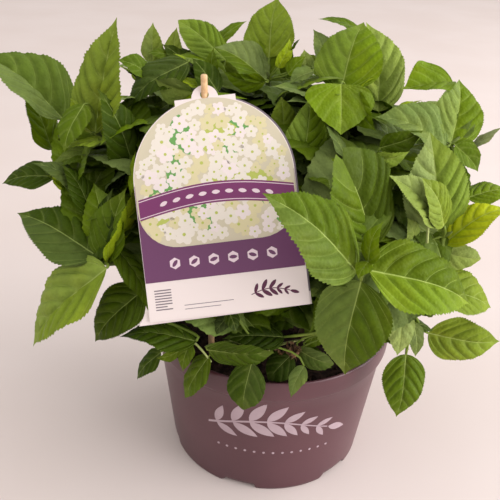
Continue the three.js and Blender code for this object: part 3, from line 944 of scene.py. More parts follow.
# The part of the view that the crown fills without a gap; round it only leaves that show stand out.
CROWN_OUTLINE = (
    (54, 150), (66, 122), (80, 84), (112, 104), (136, 84), (150, 62), (190, 54), (214, 62), (262, 62),
    (300, 66), (318, 62), (332, 84), (352, 104), (398, 110), (412, 132), (442, 146), (470, 160), (474, 196),
    (468, 216), (470, 262), (462, 296), (426, 304), (402, 322), (386, 346), (330, 372), (270, 378),
    (206, 368), (174, 358), (150, 338), (144, 300), (120, 268), (104, 260), (66, 232), (52, 200), (50, 184),
)

# For each pair of leaves down a shoot: how far below the tip, their length, their spread from the
# shoot's way, their petiole, their lift at the end, and the greens they are drawn from.
PAIRS = (
    (2, 36, 30, 5, 50, ("young",)),
    (10, 74, 50, 12, 35, ("bright", "light", "mid")),
    (24, 100, 66, 18, 20, ("bright", "mid", "mid", "grey")),
    (42, 114, 82, 24, 4, ("bright", "mid", "mid", "grey")),
    (62, 114, 96, 28, -12, ("mid", "dark", "dark")),
    (84, 104, 108, 30, -28, ("mid", "dark", "dark")),
)
# How these leaves vary. Each further try to fit one in turns it further and shortens it and its petiole.
GROWTH = {
    "tries": 14, "turn": (-0.2, 0.2), "turn_more": 0.6, "size": (0.92, 1.08), "shorter": 0.03,
    "petiole_shorter": 0.05, "spread": (-12, 12), "lift": (-14, 14), "width": (0.29, 0.34),
    "arch": (0.07, 0.14), "second_lower": 9, "second_turned": 0.8,
}
# The painted light a leaf grown by rule may get on its left and right halves: a painted sheen above zero,
# painted shade below.
PAINTED_LIGHT_CHOICES = ((0, 0), (0, 0), (0.16, 0), (0.26, 0.06), (0, -0.15), (-0.12, 0.1))
WAY_UP = np.array((0.0, 0.0, 1.0))


def in_masses(point):
    """Whether a point is inside one of the crown's masses of leaves."""
    place = Vector(point * MM)
    for tree in MASSES:
        near, normal, _, _ = tree.find_nearest(place)
        if (place - near).dot(normal) < 0:
            return True
    return False


def in_heart(point):
    """Whether a point is deep inside the crown, where leaves fill all the room between the masses."""
    return np.sum(((point - HEART["middle"]) / HEART["reach"]) ** 2) < 1


def in_crown(x, y):
    """Whether a spot of the view is inside the crown's outline."""
    inside = False
    for (x0, y0), (x1, y1) in zip(CROWN_OUTLINE, CROWN_OUTLINE[1:] + CROWN_OUTLINE[:1]):
        if (y0 > y) != (y1 > y) and x < x0 + (y - y0) * (x1 - x0) / (y1 - y0):
            inside = not inside
    return inside


def on_card(across, up, slack):
    """Whether a place on the card's plane is on the card, or on its stick's bare end."""
    half = CARD["width"] / 2 + slack
    if abs(across) > half or up < -slack:
        return False
    if up < CARD["side"] or math.hypot(across, up - CARD["side"]) < half:
        return True
    return abs(across) < STICK["bare_half"] and up < STICK["bare_top"]


def clear_of_card(points):
    """Whether points are all clear of the card, and not in front of it as it is looked at."""
    eye = (EYE - CARD_FOOT) @ CARD_TURN
    for across, up, out in (points - CARD_FOOT) @ CARD_TURN:
        if abs(out) < CARD_GAPS["off"] and on_card(across, up, CARD_GAPS["past"]):
            return False
        share = out / (out - eye[2])
        seen = (across + share * (eye[0] - across), up + share * (eye[1] - up))
        if out > 0 and on_card(*seen, CARD_GAPS["before"]):
            return False
    return True


def cells_of(spots):
    """The row and column of the small square that each spot of the view is in."""
    cells = np.clip((spots / CELL).astype(int), 0, VIEW // CELL)
    return cells[:, 1], cells[:, 0]


def shown_depths():
    """How near the shown leaves come in each small square of the view."""
    depths = np.full((VIEW // CELL + 1, VIEW // CELL + 1), np.inf)
    for bundle in leaves.values():
        for points in bundle.points:
            spots, away = shown_at(points)
            np.minimum.at(depths, cells_of(spots), away)
    return depths


front_depths = shown_depths()


def leaf_fits(samples):
    """Whether a leaf keeps within the crown, clear of the card, and behind the leaves that show."""
    spots, away = shown_at(samples)
    nearest = front_depths[cells_of(spots)]
    if (np.isfinite(nearest) & (away < nearest - 2)).mean() > OVERLAP:
        return False
    if not all(in_crown(x, y) for x, y in spots[np.isinf(nearest)]):
        return False
    if not clear_of_card(samples):
        return False
    return all(in_heart(point) or in_masses(point) for point in samples)


def leaf_samples(base, tip, up, half_width, arch):
    """Points all over a leaf, its rim among them."""
    along = tip - base
    length = np.linalg.norm(along)
    right = np.cross(unit(along), up)
    samples = [tip]
    for share, width in ((0.1, 0.5), (0.25, 0.9), (0.4, 1.0), (0.55, 0.9), (0.7, 0.7), (0.85, 0.4)):
        centre = base + along * share + up * arch * length * math.sin(math.pi * share)
        samples += [centre + right * half_width * width * side for side in (-1, -0.5, 0, 0.5, 1)]
    return np.array(samples)


def grow_pair(apex, way, row, turn, dice):
    """Two leaves that face each other across the shoot, each where it fits."""
    below, length, spread, petiole, lift, tints = row
    first = unit(np.cross(way, WAY_UP) + 1e-6)
    second = np.cross(first, way)
    for opposite in (0, math.pi):
        for attempt in range(GROWTH["tries"]):
            angle = turn + opposite + dice.uniform(*GROWTH["turn"]) * (1 + attempt * GROWTH["turn_more"])
            size = length * dice.uniform(*GROWTH["size"]) * (1 - GROWTH["shorter"] * attempt)
            radial = math.cos(angle) * first + math.sin(angle) * second
            tilt = math.radians(spread + dice.uniform(*GROWTH["spread"]))
            node = apex - way * below
            leave = unit(math.cos(tilt) * way + math.sin(tilt) * radial)
            base = node + leave * petiole * (1 - GROWTH["petiole_shorter"] * attempt)
            rise = math.radians(lift + dice.uniform(*GROWTH["lift"]))
            level = unit(leave * (1, 1, 0) + 1e-6)
            along = unit(0.45 * leave + 0.55 * (level * math.cos(rise) + WAY_UP * math.sin(rise)))
            tip = base + along * size
            lean = unit(WAY_UP + 0.35 * way + 0.25 * level)
            up = unit(lean - along * lean.dot(along))
            half_width = size * dice.uniform(*GROWTH["width"])
            arch = dice.uniform(*GROWTH["arch"])
            if leaf_fits(leaf_samples(base, tip, up, half_width, arch)):
                grid, width = (PLAIN, 1.5) if np.linalg.norm(tip - base) > LARGE["grown"] else (SMALL, 0.9)
                add_grown(base, tip, up, half_width, grid, arch, tints, dice)
                stalk(leave, node, base, unit(tip - base), width)
                break


def add_grown(base, tip, up, half_width, grid, arch, tints, dice):
    fold = dice.uniform(0.16, 0.34)
    leaf = blade(
        base, tip, up, half_width, grid, arch=arch, folds=(fold, fold + dice.uniform(-0.08, 0.08)),
        twist=dice.uniform(-0.35, 0.35), seed=dice.random(), wave=0.05, droop=0.2,
        sway=dice.uniform(-0.04, 0.04),
    )
    tint = tints[0] if len(tints) == 1 else dice.choice(tints)
    # painted sheen and painted shade on the leaf's halves, drawn at random
    bloom = dice.choice(PAINTED_LIGHT_CHOICES)
    leaves[tint].add_leaf(grid, leaf, dice.uniform(0.88, 1.12), bloom)


def grow_rest():
    """Pairs of leaves down every shoot, and a second set a little lower."""
    for number, name in enumerate(SHOOTS):
        dice = random.Random(100 + number)
        apex, way = tip_of(name)
        turn = dice.uniform(0, math.pi)
        lower = apex - way * GROWTH["second_lower"]
        for pairs, top, start in ((PAIRS, apex, turn), (PAIRS[2:], lower, turn + GROWTH["second_turned"])):
            for step, row in enumerate(pairs):
                grow_pair(top, way, row, start + step * math.pi / 2, dice)


grow_rest()


# ---------------------------------------------------------------- stems, boughs and twigs

HUSKS = {"count": 26, "spot": (289, 350), "spread": (6, 3.5), "plane": -96, "length": (5, 11)}
# Each bare stalk's ends, as a spot and its plane, and how far its middle stands above the straight line.
BARE_STALKS = (
    ((185, 336), -104, (211, 362), -109, 3),
    ((230, 340), -106, (254, 352), -110, 2),
    ((253, 364), -112, (280, 345), -98, 3),
    ((280, 345), -97, (304, 340), -92, 1),
    ((427, 243), -84, (429, 215), -80, 0),
)


def stem_angle(index):
    return 360 * (index + 0.35) / STEMS["count"]


def fork(index):
    return polar(STEMS["ring_radius"] + STEMS["spread"], stem_angle(index), STEMS["fork_height"])


def make_stems():
    """Bark-covered stems, swollen at the foot and at the joints."""
    bark = Bundle()
    for index in range(STEMS["count"]):
        angle = stem_angle(index)
        foot = polar(STEMS["ring_radius"], angle, STEMS["foot"])
        middle = polar(STEMS["ring_radius"] + STEMS["spread"] / 3, angle + 4, STEMS["middle_height"])
        path = curve_through(foot, middle, fork(index), STEMS["steps"])
        share = np.linspace(0, 1, len(path))
        radii = STEMS["base_radius"] + (STEMS["fork_radius"] - STEMS["base_radius"]) * share
        for swell, place in ((1.3, 0.62), (1.2, 1)):
            radii = radii + swell * np.exp(-((share - place) / 0.05) ** 2)
        points, faces = tube(path, radii, STEMS["sides"])
        centres = np.repeat(path, STEMS["sides"], axis=0)
        for row, point in enumerate(points):
            spot = Vector((point[0] * 0.35, point[1] * 0.35, point[2] * 0.09 + index * 7))
            ridge = noise.noise(spot) + 0.5 * noise.noise(spot * 2.3)
            points[row] = point + unit(point - centres[row]) * STEMS["ridge"] * ridge
        bark.add(points, faces)
    return bark.mesh()


def make_boughs():
    """Green boughs with a swollen joint every few centimetres, each from the nearest stem's fork."""
    green = Bundle()
    forks = [fork(index) for index in range(STEMS["count"])]
    for name, (end, _, _) in SHOOTS.items():
        if name == STEM_BORNE:
            continue
        end = np.array(end, float)
        start = min(forks, key=lambda place: np.linalg.norm(place - end)) - np.array((0, 0, 4.0))
        rise = min(BOUGH["highest_rise"], BOUGH["rise"] * np.linalg.norm(end - start))
        path = curve_through(start, (start + end) / 2 + WAY_UP * rise, end, BOUGH["steps"])
        share = np.linspace(0, 1, len(path))
        radii = BOUGH["base_radius"] + (BOUGH["tip_radius"] - BOUGH["base_radius"]) * share
        joints = np.cos(share * 2 * math.pi * 3) ** 12
        green.add(*tube(path, radii * (1 + 0.16 * joints), BOUGH["sides"]))
    return green.mesh()


def make_husks():
    """Dried bud scales and leaf ends, brown and curled, left at the foot of the inner shoot."""
    husks = Bundle()
    dice = random.Random(17)
    for number in range(HUSKS["count"]):
        spot = [dice.gauss(place, spread) for place, spread in zip(HUSKS["spot"], HUSKS["spread"])]
        base = sight(spot, HUSKS["plane"] - dice.uniform(0, 6))
        way = unit(np.array((dice.uniform(-1, 1), dice.uniform(-0.7, 0.1), dice.uniform(-0.8, 0.6))))
        up = unit(np.cross(way, (dice.uniform(-1, 1), 0.4, dice.uniform(-1, 1))))
        length = dice.uniform(*HUSKS["length"])
        points, _, _ = blade(
            base, base + way * length, up, length * 0.3, SMALL, arch=0.25, folds=(0.5, 0.3), wave=0.1,
            seed=number,
        )
        husks.add(points, SMALL.faces)
    return husks.mesh()


def make_bare_stalks():
    """Pale stalks that show between the low leaves."""
    pale = Bundle()
    for start_spot, start_plane, end_spot, end_plane, rise in BARE_STALKS:
        start, end = sight(start_spot, start_plane), sight(end_spot, end_plane)
        path = curve_through(start, (start + end) / 2 + WAY_UP * rise, end, 9)
        pale.add(*tube(path, np.linspace(1.2, 0.9, 9)))
    return pale.mesh()


def make_twigs():
    """The soft growing ends of the shoots, with their leaf joints."""
    twigs = Bundle()
    for name in SHOOTS:
        place = np.array(SHOOTS[name][0], float)
        apex, way = tip_of(name)
        path = np.array([place - way * 6, place, place + way * 5, place + way * 10, apex])
        twigs.add(*tube(path, np.array((2.1, 2.3, 1.9, 1.6, 0.7)), 8))
    return twigs.mesh()


# ---------------------------------------------------------------- pot and compost

# The crust's layers of unevenness: how fine each is, where its noise starts, and its share.
CRUST = ((0.07, (0, 0, 0), 1), (0.21, (3, 1, 4), 0.7), (0.55, (9, 2, 6), 0.5))
CRUMBS = {
    "count": 1000, "on_crust": 840, "size": (0.7, 2.6), "wall_gap": 5, "rim_angle": (222, 4.5),
    "rim_inset": (1.0, 1.6), "rim_size": (0.5, 1.7),
}


def wall_radius(height):
    top = POT["height"] - POT["collar_height"]
    last = POT["rim_radius"] - POT["collar_depth"] - POT["collar_draft"]
    return POT["base_radius"] + (last - POT["base_radius"]) * height / top


def pot_profile():
    """From the middle of the floor, up the inside, over the lip and down the outside to the foot."""
    high, rim, wall, foot = POT["height"], POT["rim_radius"], POT["wall"], POT["base_radius"]
    collar = high - POT["collar_height"]
    profile = [(0.01, POT["floor"]), (60, POT["floor"]), (wall_radius(3) - wall - 2, POT["floor"])]
    profile += [(wall_radius(5) - wall, 5.5)]
    profile += [(wall_radius(height) - wall, height) for height in (30, 60, 90, collar - 4)]
    profile += [(rim - wall - 2.2, collar + 4), (rim - wall - 1.3, high - 4)]
    profile += [(rim - wall - 0.9, high - 1.2), (rim - wall - 0.3, high - 0.3), (rim - 1.4, high)]
    profile += [(rim - 0.4, high - 0.4), (rim, high - 1.4), (rim, high - 4)]
    profile += [(rim - 0.3, high - 10), (rim - 0.75, collar + 3.2), (rim - 1.1, collar + 1.4)]
    profile += [(rim - 2.2, collar + 0.1), (rim - 3.6, collar - 1.0)]
    profile += [(wall_radius(collar) - 0.1, collar - 2.6)]
    profile += [(wall_radius(height), height) for height in (105, 80, 55, 30, 14, 8, 5, 2.4)]
    profile += [(wall_radius(0.8) - 0.2, 0.8), (foot - 1.2, 0), (foot - NOTCH["depth"], 0)]
    profile += [(foot - NOTCH["depth"] - 1.5, 1.2), (40, 1.2), (0.01, 1.2)]
    return profile


def notch_lift(place):
    """How far a notch lifts a point of the foot."""
    angle = math.degrees(math.atan2(place.y, place.x))
    step = 360 / NOTCH["count"]
    off = (angle - NOTCH["first_angle"] + step / 2) % step - step / 2
    half = math.degrees(NOTCH["width"] / 2 / POT["base_radius"])
    share = min(1.0, max(0.0, (half - abs(off)) / NOTCH["side_angle"]))
    if math.hypot(place.x, place.y) > wall_radius(place.z) - NOTCH["skin"]:
        fade = 1 if place.z < NOTCH["flat_top"] else (9 - place.z) / 8
        return share * NOTCH["height"] * fade
    return share * NOTCH["floor_lift"] if place.z < 0.5 else 0


def make_pot():
    shape = spun(pot_profile(), POT["steps"])
    inmost = POT["base_radius"] - NOTCH["depth"] - 1
    for corner in shape.verts:
        if math.hypot(corner.co.x, corner.co.y) > inmost and corner.co.z < NOTCH["fade_top"]:
            corner.co.z += notch_lift(corner.co)
    bmesh.ops.recalc_face_normals(shape, faces=shape.faces)
    return mesh_of(shape)


def crust_height(reach):
    """How high the crust is, this far out, before it is roughened."""
    return COMPOST["top"] + COMPOST["mound"] * (1 - reach * reach)


def make_compost():
    """A rough crust that rises a little to the middle, closed underneath."""
    profile = []
    for ring in range(COMPOST["rings"] + 1):
        share = ring / COMPOST["rings"]
        profile.append(((COMPOST["radius"] - 1.5) * share + 0.01, crust_height(share)))
    down_the_side = ((100, 2.3), (60, 2.3), (COMPOST["foot"], 3))
    profile += [(wall_radius(height) - gap, height) for height, gap in down_the_side]
    shape = spun(profile + [(0.01, COMPOST["foot"])], COMPOST["steps"])
    limit = wall_radius(COMPOST["edge_height"]) - 2.4
    for corner in shape.verts:
        if corner.co.z > COMPOST["crust_from"]:
            inward = min(1.0, limit / max(math.hypot(corner.co.x, corner.co.y), 1e-9))
            corner.co.x *= inward
            corner.co.y *= inward
            rough = sum(share * noise.noise(corner.co * fine + Vector(start)) for fine, start, share in CRUST)
            corner.co.z += COMPOST["roughness"] * rough
    bmesh.ops.recalc_face_normals(shape, faces=shape.faces)
    return mesh_of(shape)


def make_lump():
    """A small plain ball, as points and faces."""
    shape = bmesh.new()
    bmesh.ops.create_icosphere(shape, subdivisions=1, radius=1)
    shape.verts.index_update()
    points = np.array([corner.co[:] for corner in shape.verts])
    faces = [[corner.index for corner in face.verts] for face in shape.faces]
    shape.free()
    return points, faces


def make_crumbs():
    """Loose crumbs of compost on the crust, and a few left on the rim."""
    crumbs = Bundle()
    dice = random.Random(5)
    lump, lump_faces = make_lump()
    for number in range(CRUMBS["count"]):
        angle = dice.uniform(0, 360)
        if number < CRUMBS["on_crust"]:
            reach = (wall_radius(COMPOST["edge_height"]) - CRUMBS["wall_gap"]) * math.sqrt(dice.random())
            height = crust_height(reach / COMPOST["radius"]) + dice.uniform(-0.5, 1.2)
            size = dice.uniform(*CRUMBS["size"])
        else:
            angle = dice.gauss(*CRUMBS["rim_angle"])
            reach = POT["rim_radius"] - abs(dice.gauss(*CRUMBS["rim_inset"])) + 0.9
            hang = max(0.0, reach - POT["rim_radius"] + 0.2)
            height = POT["height"] + dice.uniform(0.1, 1.2) - 3.5 * hang
            size = dice.uniform(*CRUMBS["rim_size"])
        stretch = np.array([dice.uniform(0.6, 1.2) for _ in range(3)])
        turn = np.array(Matrix.Rotation(dice.uniform(0, 6.3), 3, Vector((dice.random(), 1, dice.random()))))
        crumbs.add(polar(reach, angle, height) + (lump * stretch * size) @ turn.T, lump_faces)
    return crumbs.mesh()


# ---------------------------------------------------------------- care card and its stick

CARD_LEAF = {
    "thickness": 0.5, "rear_grow": 0.7, "rear_shift": (0.7, 0.5), "tuck": 1.5, "splay": (-71, -2),
    "splay_top": 10,
}
PRINT = {
    "field_foot": 30, "window_foot": 55, "window_half": 61.4, "corner": 30, "rim": 0.4, "leaves": 20,
    "leaf_spread": ((-52, 52), (58, 155)), "leaf_length": (20, 32), "florets": 220, "floret_tries": 2640,
    "floret_spread": ((-58, 58), (56, 166)), "floret_size": (4.2, 8.6), "floret_gap": 0.6,
    "ribbon": (78, 94), "ribbon_rise": 8, "ribbon_half": 60, "ribbon_leaves": 9, "leaf_row_half": 46,
    "hexagons": 6, "hexagon_step": 15, "hexagon_height": 43,
}
# The strip under the printed field: thick bars and thin lines at the left, a sprig at the right.
STRIP = {
    "bars": 8, "bar_left": -56, "bar_top": 23, "bar_step": 2.1, "bar_width": 13, "short_bar": 6,
    "short_width": 9, "lines": ((10, 4), (7, -6)), "line_left": -34, "sprig": (18, 12), "sprig_length": 30,
    "sprig_rise": 3.4, "pairs": 5, "leaf": 7.5,
}
INKS = {
    "card_white": (230, 218, 215), "ink_cream": (204, 195, 170), "ink_ivory": (226, 218, 206),
    "ink_butter": (214, 204, 162), "ink_lime": (178, 188, 92), "ink_leaf": (104, 158, 84),
    "ink_plum": (118, 50, 100), "ink_dusk": (104, 60, 96), "ink_wine": (84, 34, 62),
    "ink_blush": (226, 206, 214), "ink_grey": (120, 108, 116),
}
FACE = CARD["thickness"] / 2


def arc(middle, radius, start, end, steps):
    """Points along an arc, its angles in degrees."""
    turns = [math.radians(start + (end - start) * step / steps) for step in range(steps + 1)]
    return [(middle[0] + radius * math.cos(turn), middle[1] + radius * math.sin(turn)) for turn in turns]


def card_outline(grow=0.0, tuck=0.0):
    """The card's edge in its own frame, round from its lower left corner, with its hanger tucked in."""
    half = CARD["width"] / 2 + grow
    hanger = CARD["hanger_width"] / 2 - tuck
    top = CARD["hanger_height"] - tuck
    arch_end = math.degrees(math.acos(hanger / half))
    outline = [(-half, -grow), (half, -grow)] + arc((0, CARD["side"]), half, 0, arch_end, 24)
    outline += [(hanger, top)] + arc((0, CARD["tab_height"]), CARD["tab_radius"] - tuck, 6, 174, 20)
    return outline + [(-hanger, top)] + arc((0, CARD["side"]), half, 180 - arch_end, 180, 24)


def hole_outline():
    return arc((0, CARD["hole_height"]), CARD["hole_radius"], 0, 345, 23)


def plate(shape, loops, low, high, tone):
    """Adds a thin flat plate, bounded by closed loops of points, from one height off the card to another."""
    edges = []
    for loop in loops:
        corners = [shape.verts.new((x, y, low)) for x, y in loop]
        edges += [shape.edges.new(pair) for pair in zip(corners, corners[1:] + corners[:1])]
    filled = bmesh.ops.triangle_fill(shape, use_beauty=True, use_dissolve=False, edges=edges)
    faces = [item for item in filled["geom"] if isinstance(item, bmesh.types.BMFace)]
    for face in faces:
        face.material_index = list(INKS).index(tone)
    grown = bmesh.ops.extrude_face_region(shape, geom=faces)
    raised = [item for item in grown["geom"] if isinstance(item, bmesh.types.BMVert)]
    bmesh.ops.translate(shape, vec=(0, 0, high - low), verts=raised)


def ink(shape, outline, proud, tone):
    """Prints a flat shape on the card's face, so far proud of it."""
    plate(shape, [outline], FACE, FACE + proud, tone)


def card_mesh(shape):
    """Sets a bmesh made flat in the card's own frame where the card is."""
    bmesh.ops.recalc_face_normals(shape, faces=shape.faces)
    place = Matrix.Translation(CARD["foot"]) @ CARD_AXES.to_4x4()
    bmesh.ops.transform(shape, matrix=place, verts=shape.verts)
    return mesh_of(shape, smooth=False)


def make_card_front():
    shape = bmesh.new()
    plate(shape, [card_outline(), hole_outline()], FACE - CARD_LEAF["thickness"], FACE, "card_white")
    return card_mesh(shape)


def make_card_rear():
    """The rear leaf, a little larger: dusky above its pale foot, which has one corner splayed out."""
    shape = bmesh.new()
    high = CARD_LEAF["thickness"] - FACE
    shift_x, shift_y = CARD_LEAF["rear_shift"]
    outline = [(x + shift_x, y + shift_y) for x, y in card_outline(CARD_LEAF["rear_grow"], CARD_LEAF["tuck"])]
    left, right, change = outline[0][0], outline[1][0], CARD_LEAF["splay_top"]
    upper = [(left, change), (right, change)] + outline[2:]
    lower = [(left, change), CARD_LEAF["splay"], outline[1], (right, change)]
    plate(shape, [upper, hole_outline()], -FACE, high, "ink_grey")
    plate(shape, [lower], -FACE, high, "card_white")
    return card_mesh(shape)


def oval(middle, length, width, turn, steps=8, point=1.0):
    """A closed petal or leaf outline about its middle."""
    outline = []
    for step in range(steps):
        angle = 2 * math.pi * step / steps
        x = length / 2 * math.cos(angle)
        y = width / 2 * math.sin(angle) * abs(math.sin(angle)) ** (point - 1)
        outline.append((
            middle[0] + x * math.cos(turn) - y * math.sin(turn),
            middle[1] + x * math.sin(turn) + y * math.cos(turn),
        ))
    return outline


def window_side():
    """The lower edge of the printed window, round from the left side to the right."""
    half, foot, corner = PRINT["window_half"], PRINT["window_foot"], PRINT["corner"]
    left = arc((corner - half, foot + corner), corner, 180, 270, 8)
    return left + arc((half - corner, foot + corner), corner, 270, 360, 8)


def in_window(x, y, reach):
    half = PRINT["window_half"] - reach
    if y > CARD["side"]:
        return math.hypot(x, y - CARD["side"]) < half
    return abs(x) < half and y > PRINT["window_foot"] + reach


def add_blossoms(shape, dice):
    """A generic print of small five-petalled blossoms and plain leaves on cream."""
    ink(shape, window_side() + arc((0, CARD["side"]), PRINT["window_half"], 0, 180, 40), 0.03, "ink_cream")
    for number in range(PRINT["leaves"]):
        turn = dice.uniform(0, 6.3)
        spot = [dice.uniform(*limits) for limits in PRINT["leaf_spread"]]
        length = dice.uniform(*PRINT["leaf_length"])
        if in_window(*spot, length * 0.45):
            tone = dice.choice(("ink_leaf", "ink_leaf", "ink_lime"))
            ink(shape, oval(spot, length, length * 0.5, turn, 14, 1.4), 0.04 + 0.004 * (number % 5), tone)
    placed = []
    for _ in range(PRINT["floret_tries"]):
        size = dice.uniform(*PRINT["floret_size"])
        x, y = [dice.uniform(*limits) for limits in PRINT["floret_spread"]]
        if not in_window(x, y, size * 1.03):
            continue
        gap = PRINT["floret_gap"]
        if any(math.hypot(x - far[0], y - far[1]) < gap * (size + far[2]) for far in placed):
            continue
        placed.append((x, y, size))
        add_floret(shape, (x, y), size, 0.08 + 0.02 * (len(placed) % 5), dice)
        if len(placed) >= PRINT["florets"]:
            break


def add_floret(shape, middle, size, proud, dice):
    turn = dice.uniform(0, 6.3)
    tone = dice.choice(("ink_ivory", "ink_ivory", "card_white", "ink_butter"))
    for petal in range(5):
        angle = turn + petal * 2 * math.pi / 5
        spot = (middle[0] + size * 0.52 * math.cos(angle), middle[1] + size * 0.52 * math.sin(angle))
        ink(shape, oval(spot, size * 0.98, size * 0.82, angle), proud + 0.003 * petal, tone)
    ink(shape, oval(middle, size * 0.34, size * 0.34, turn, 6), proud + 0.03, "ink_lime")


def sprig_parts(length, pairs, leaf, rise):
    """A plain leafy sprig along x: the places of its leaves, each a base, a way, a length and a width."""
    parts = []
    for number in range(pairs):
        share = (number + 0.5) / (pairs + 0.3)
        slope = rise * math.pi / length * math.cos(math.pi * share)
        base = (length * share, rise * math.sin(math.pi * share))
        size = leaf * (0.72 + 0.5 * math.sin(math.pi * min(1, share * 1.25 + 0.1)))
        for side in (1, -1):
            parts.append((base, math.atan(slope) + side * math.radians(52 - 16 * share), size, size * 0.36))
    parts.append(((length, 0.0), math.atan(-rise * math.pi / length), leaf * 0.95, leaf * 0.36))
    return parts


def band(line, thickness):
    """A closed outline between a line of points and the same line higher up."""
    return line + [(x, y + thickness) for x, y in reversed(line)]


def add_strip(shape):
    """Plain bars, lines and a small leafy sprig, under the field."""
    left = STRIP["bar_left"]
    for number in range(STRIP["bars"]):
        foot = STRIP["bar_top"] - STRIP["bar_step"] * number
        width = STRIP["short_width"] if number == STRIP["short_bar"] else STRIP["bar_width"]
        ink(shape, band([(left, foot), (left + width, foot)], 0.9), 0.04, "ink_grey")
    for foot, end in STRIP["lines"]:
        ink(shape, band([(STRIP["line_left"], foot), (end, foot)], 0.5), 0.04, "ink_grey")
    (left, foot), length, rise = STRIP["sprig"], STRIP["sprig_length"], STRIP["sprig_rise"]
    stem = [(left + length * step / 12, foot + rise * math.sin(math.pi * step / 12)) for step in range(13)]
    ink(shape, band(stem, 0.7), 0.04, "ink_wine")
    for (x, y), turn, size, width in sprig_parts(length, STRIP["pairs"], STRIP["leaf"], rise):
        middle = (left + x + size / 2 * math.cos(turn), foot + 0.3 + y + size / 2 * math.sin(turn))
        ink(shape, oval(middle, size, width, turn, 12, 1.3), 0.05, "ink_wine")


def add_ribbon(shape):
    """A curved ribbon across the blossoms, with a thin line along each edge and a row of leaves."""
    (low, high), rise, half = PRINT["ribbon"], PRINT["ribbon_rise"], PRINT["ribbon_half"]
    for start, thickness, proud, tone in (
        (low, high - low, 0.2, "ink_plum"), (low + 1.3, 0.6, 0.215, "ink_blush"),
        (high - 1.9, 0.6, 0.215, "ink_blush"),
    ):
        line = [(half * (step / 8 - 1), start + rise * math.sin(math.pi * step / 16)) for step in range(17)]
        ink(shape, band(line, thickness), proud, tone)
    for number in range(PRINT["ribbon_leaves"]):
        share = (number + 0.5) / PRINT["ribbon_leaves"]
        height = (low + high) / 2 + rise * math.sin(math.pi * (0.095 + 0.81 * share))
        spot = (PRINT["leaf_row_half"] * (2 * share - 1), height)
        ink(shape, oval(spot, 6.4, 3.2, 0.5 - share, 12, 1.3), 0.22, "ink_blush")


def make_card_print():
    shape = bmesh.new()
    edge, side, window = CARD["width"] / 2 - PRINT["rim"], CARD["side"], PRINT["window_half"]
    add_blossoms(shape, random.Random(31))
    add_ribbon(shape)
    field = [(-edge, side), (-edge, PRINT["field_foot"]), (edge, PRINT["field_foot"]), (edge, side)]
    ink(shape, field + [(window, side)] + window_side()[::-1] + [(-window, side)], 0.25, "ink_dusk")
    for number in range(PRINT["hexagons"]):
        across = PRINT["hexagon_step"] * (number - (PRINT["hexagons"] - 1) / 2)
        spot = (across, PRINT["hexagon_height"])
        ink(shape, oval(spot, 9, 9, 0.5, 6), 0.28, "ink_blush")
        ink(shape, oval(spot, 6.4, 3, 0.9 - 0.3 * number, 10, 1.3), 0.3, "ink_dusk")
    add_strip(shape)
    return card_mesh(shape)


def make_stick():
    """A split bamboo cane with fibres along it and a worn, rounded tip."""
    foot = np.array(STICK["foot"], float)
    hole = CARD_FOOT + CARD_TURN @ np.array((0, CARD["hole_height"], 0))
    along = unit(hole - foot)
    length = np.linalg.norm(hole - foot) + STICK["overshoot"]
    shape = bmesh.new()
    bmesh.ops.create_cone(
        shape, cap_ends=True, cap_tris=False, segments=16, radius1=STICK["radius"] * 1.04,
        radius2=STICK["radius"] * 0.9, depth=length,
    )
    long_edges = [edge for edge in shape.edges if abs(edge.verts[0].co.z - edge.verts[1].co.z) > length / 2]
    bmesh.ops.subdivide_edges(shape, edges=long_edges, cuts=60, use_grid_fill=True)
    rims = [edge for edge in shape.edges if all(corner.co.z > length / 2 - 0.01 for corner in edge.verts)]
    bmesh.ops.bevel(shape, geom=rims, offset=1.5, segments=4, profile=0.5, affect="EDGES", material=-1)
    for corner in shape.verts:
        angle = math.atan2(corner.co.y, corner.co.x)
        fibre = noise.noise(Vector((math.cos(angle) * 2.6, math.sin(angle) * 2.6, corner.co.z * 0.035)))
        knuckle = math.exp(-(((corner.co.z - length * 0.16) / 1.6) ** 2))
        swell = 1 + 0.09 * fibre + 0.16 * knuckle
        corner.co.x *= swell
        corner.co.y *= swell
    turn = Vector(along).to_track_quat("Z", "Y").to_matrix().to_4x4()
    place = Matrix.Translation(Vector(foot + along * length / 2)) @ turn
    bmesh.ops.transform(shape, matrix=place, verts=shape.verts)
    return mesh_of(shape)


# ---------------------------------------------------------------- the sprig on the pot

POT_SPRIG = {
    "middle_angle": -85, "height": 78, "length": 114, "pairs": 7, "leaf": 23, "rise": 16, "proud": 0.16,
    "dots": 13, "first_dot": -52, "dot_step": 8.7, "dot_radius": 1.3, "dot_height": -25,
}


def add_patch(shape, outline, steps, rows=2):
    """Adds a leaf or stem to the pot's wall: outline gives its flat place for a share along it and a side."""
    made = bmesh.ops.create_grid(shape, x_segments=steps, y_segments=rows, size=1)
    for corner in made["verts"]:
        flat_x, flat_y = outline((corner.co.x + 1) / 2, corner.co.y)
        height = POT_SPRIG["height"] + flat_y
        reach = wall_radius(height) + POT_SPRIG["proud"]
        angle = math.radians(POT_SPRIG["middle_angle"]) + flat_x / reach
        corner.co = (reach * math.cos(angle), reach * math.sin(angle), height)


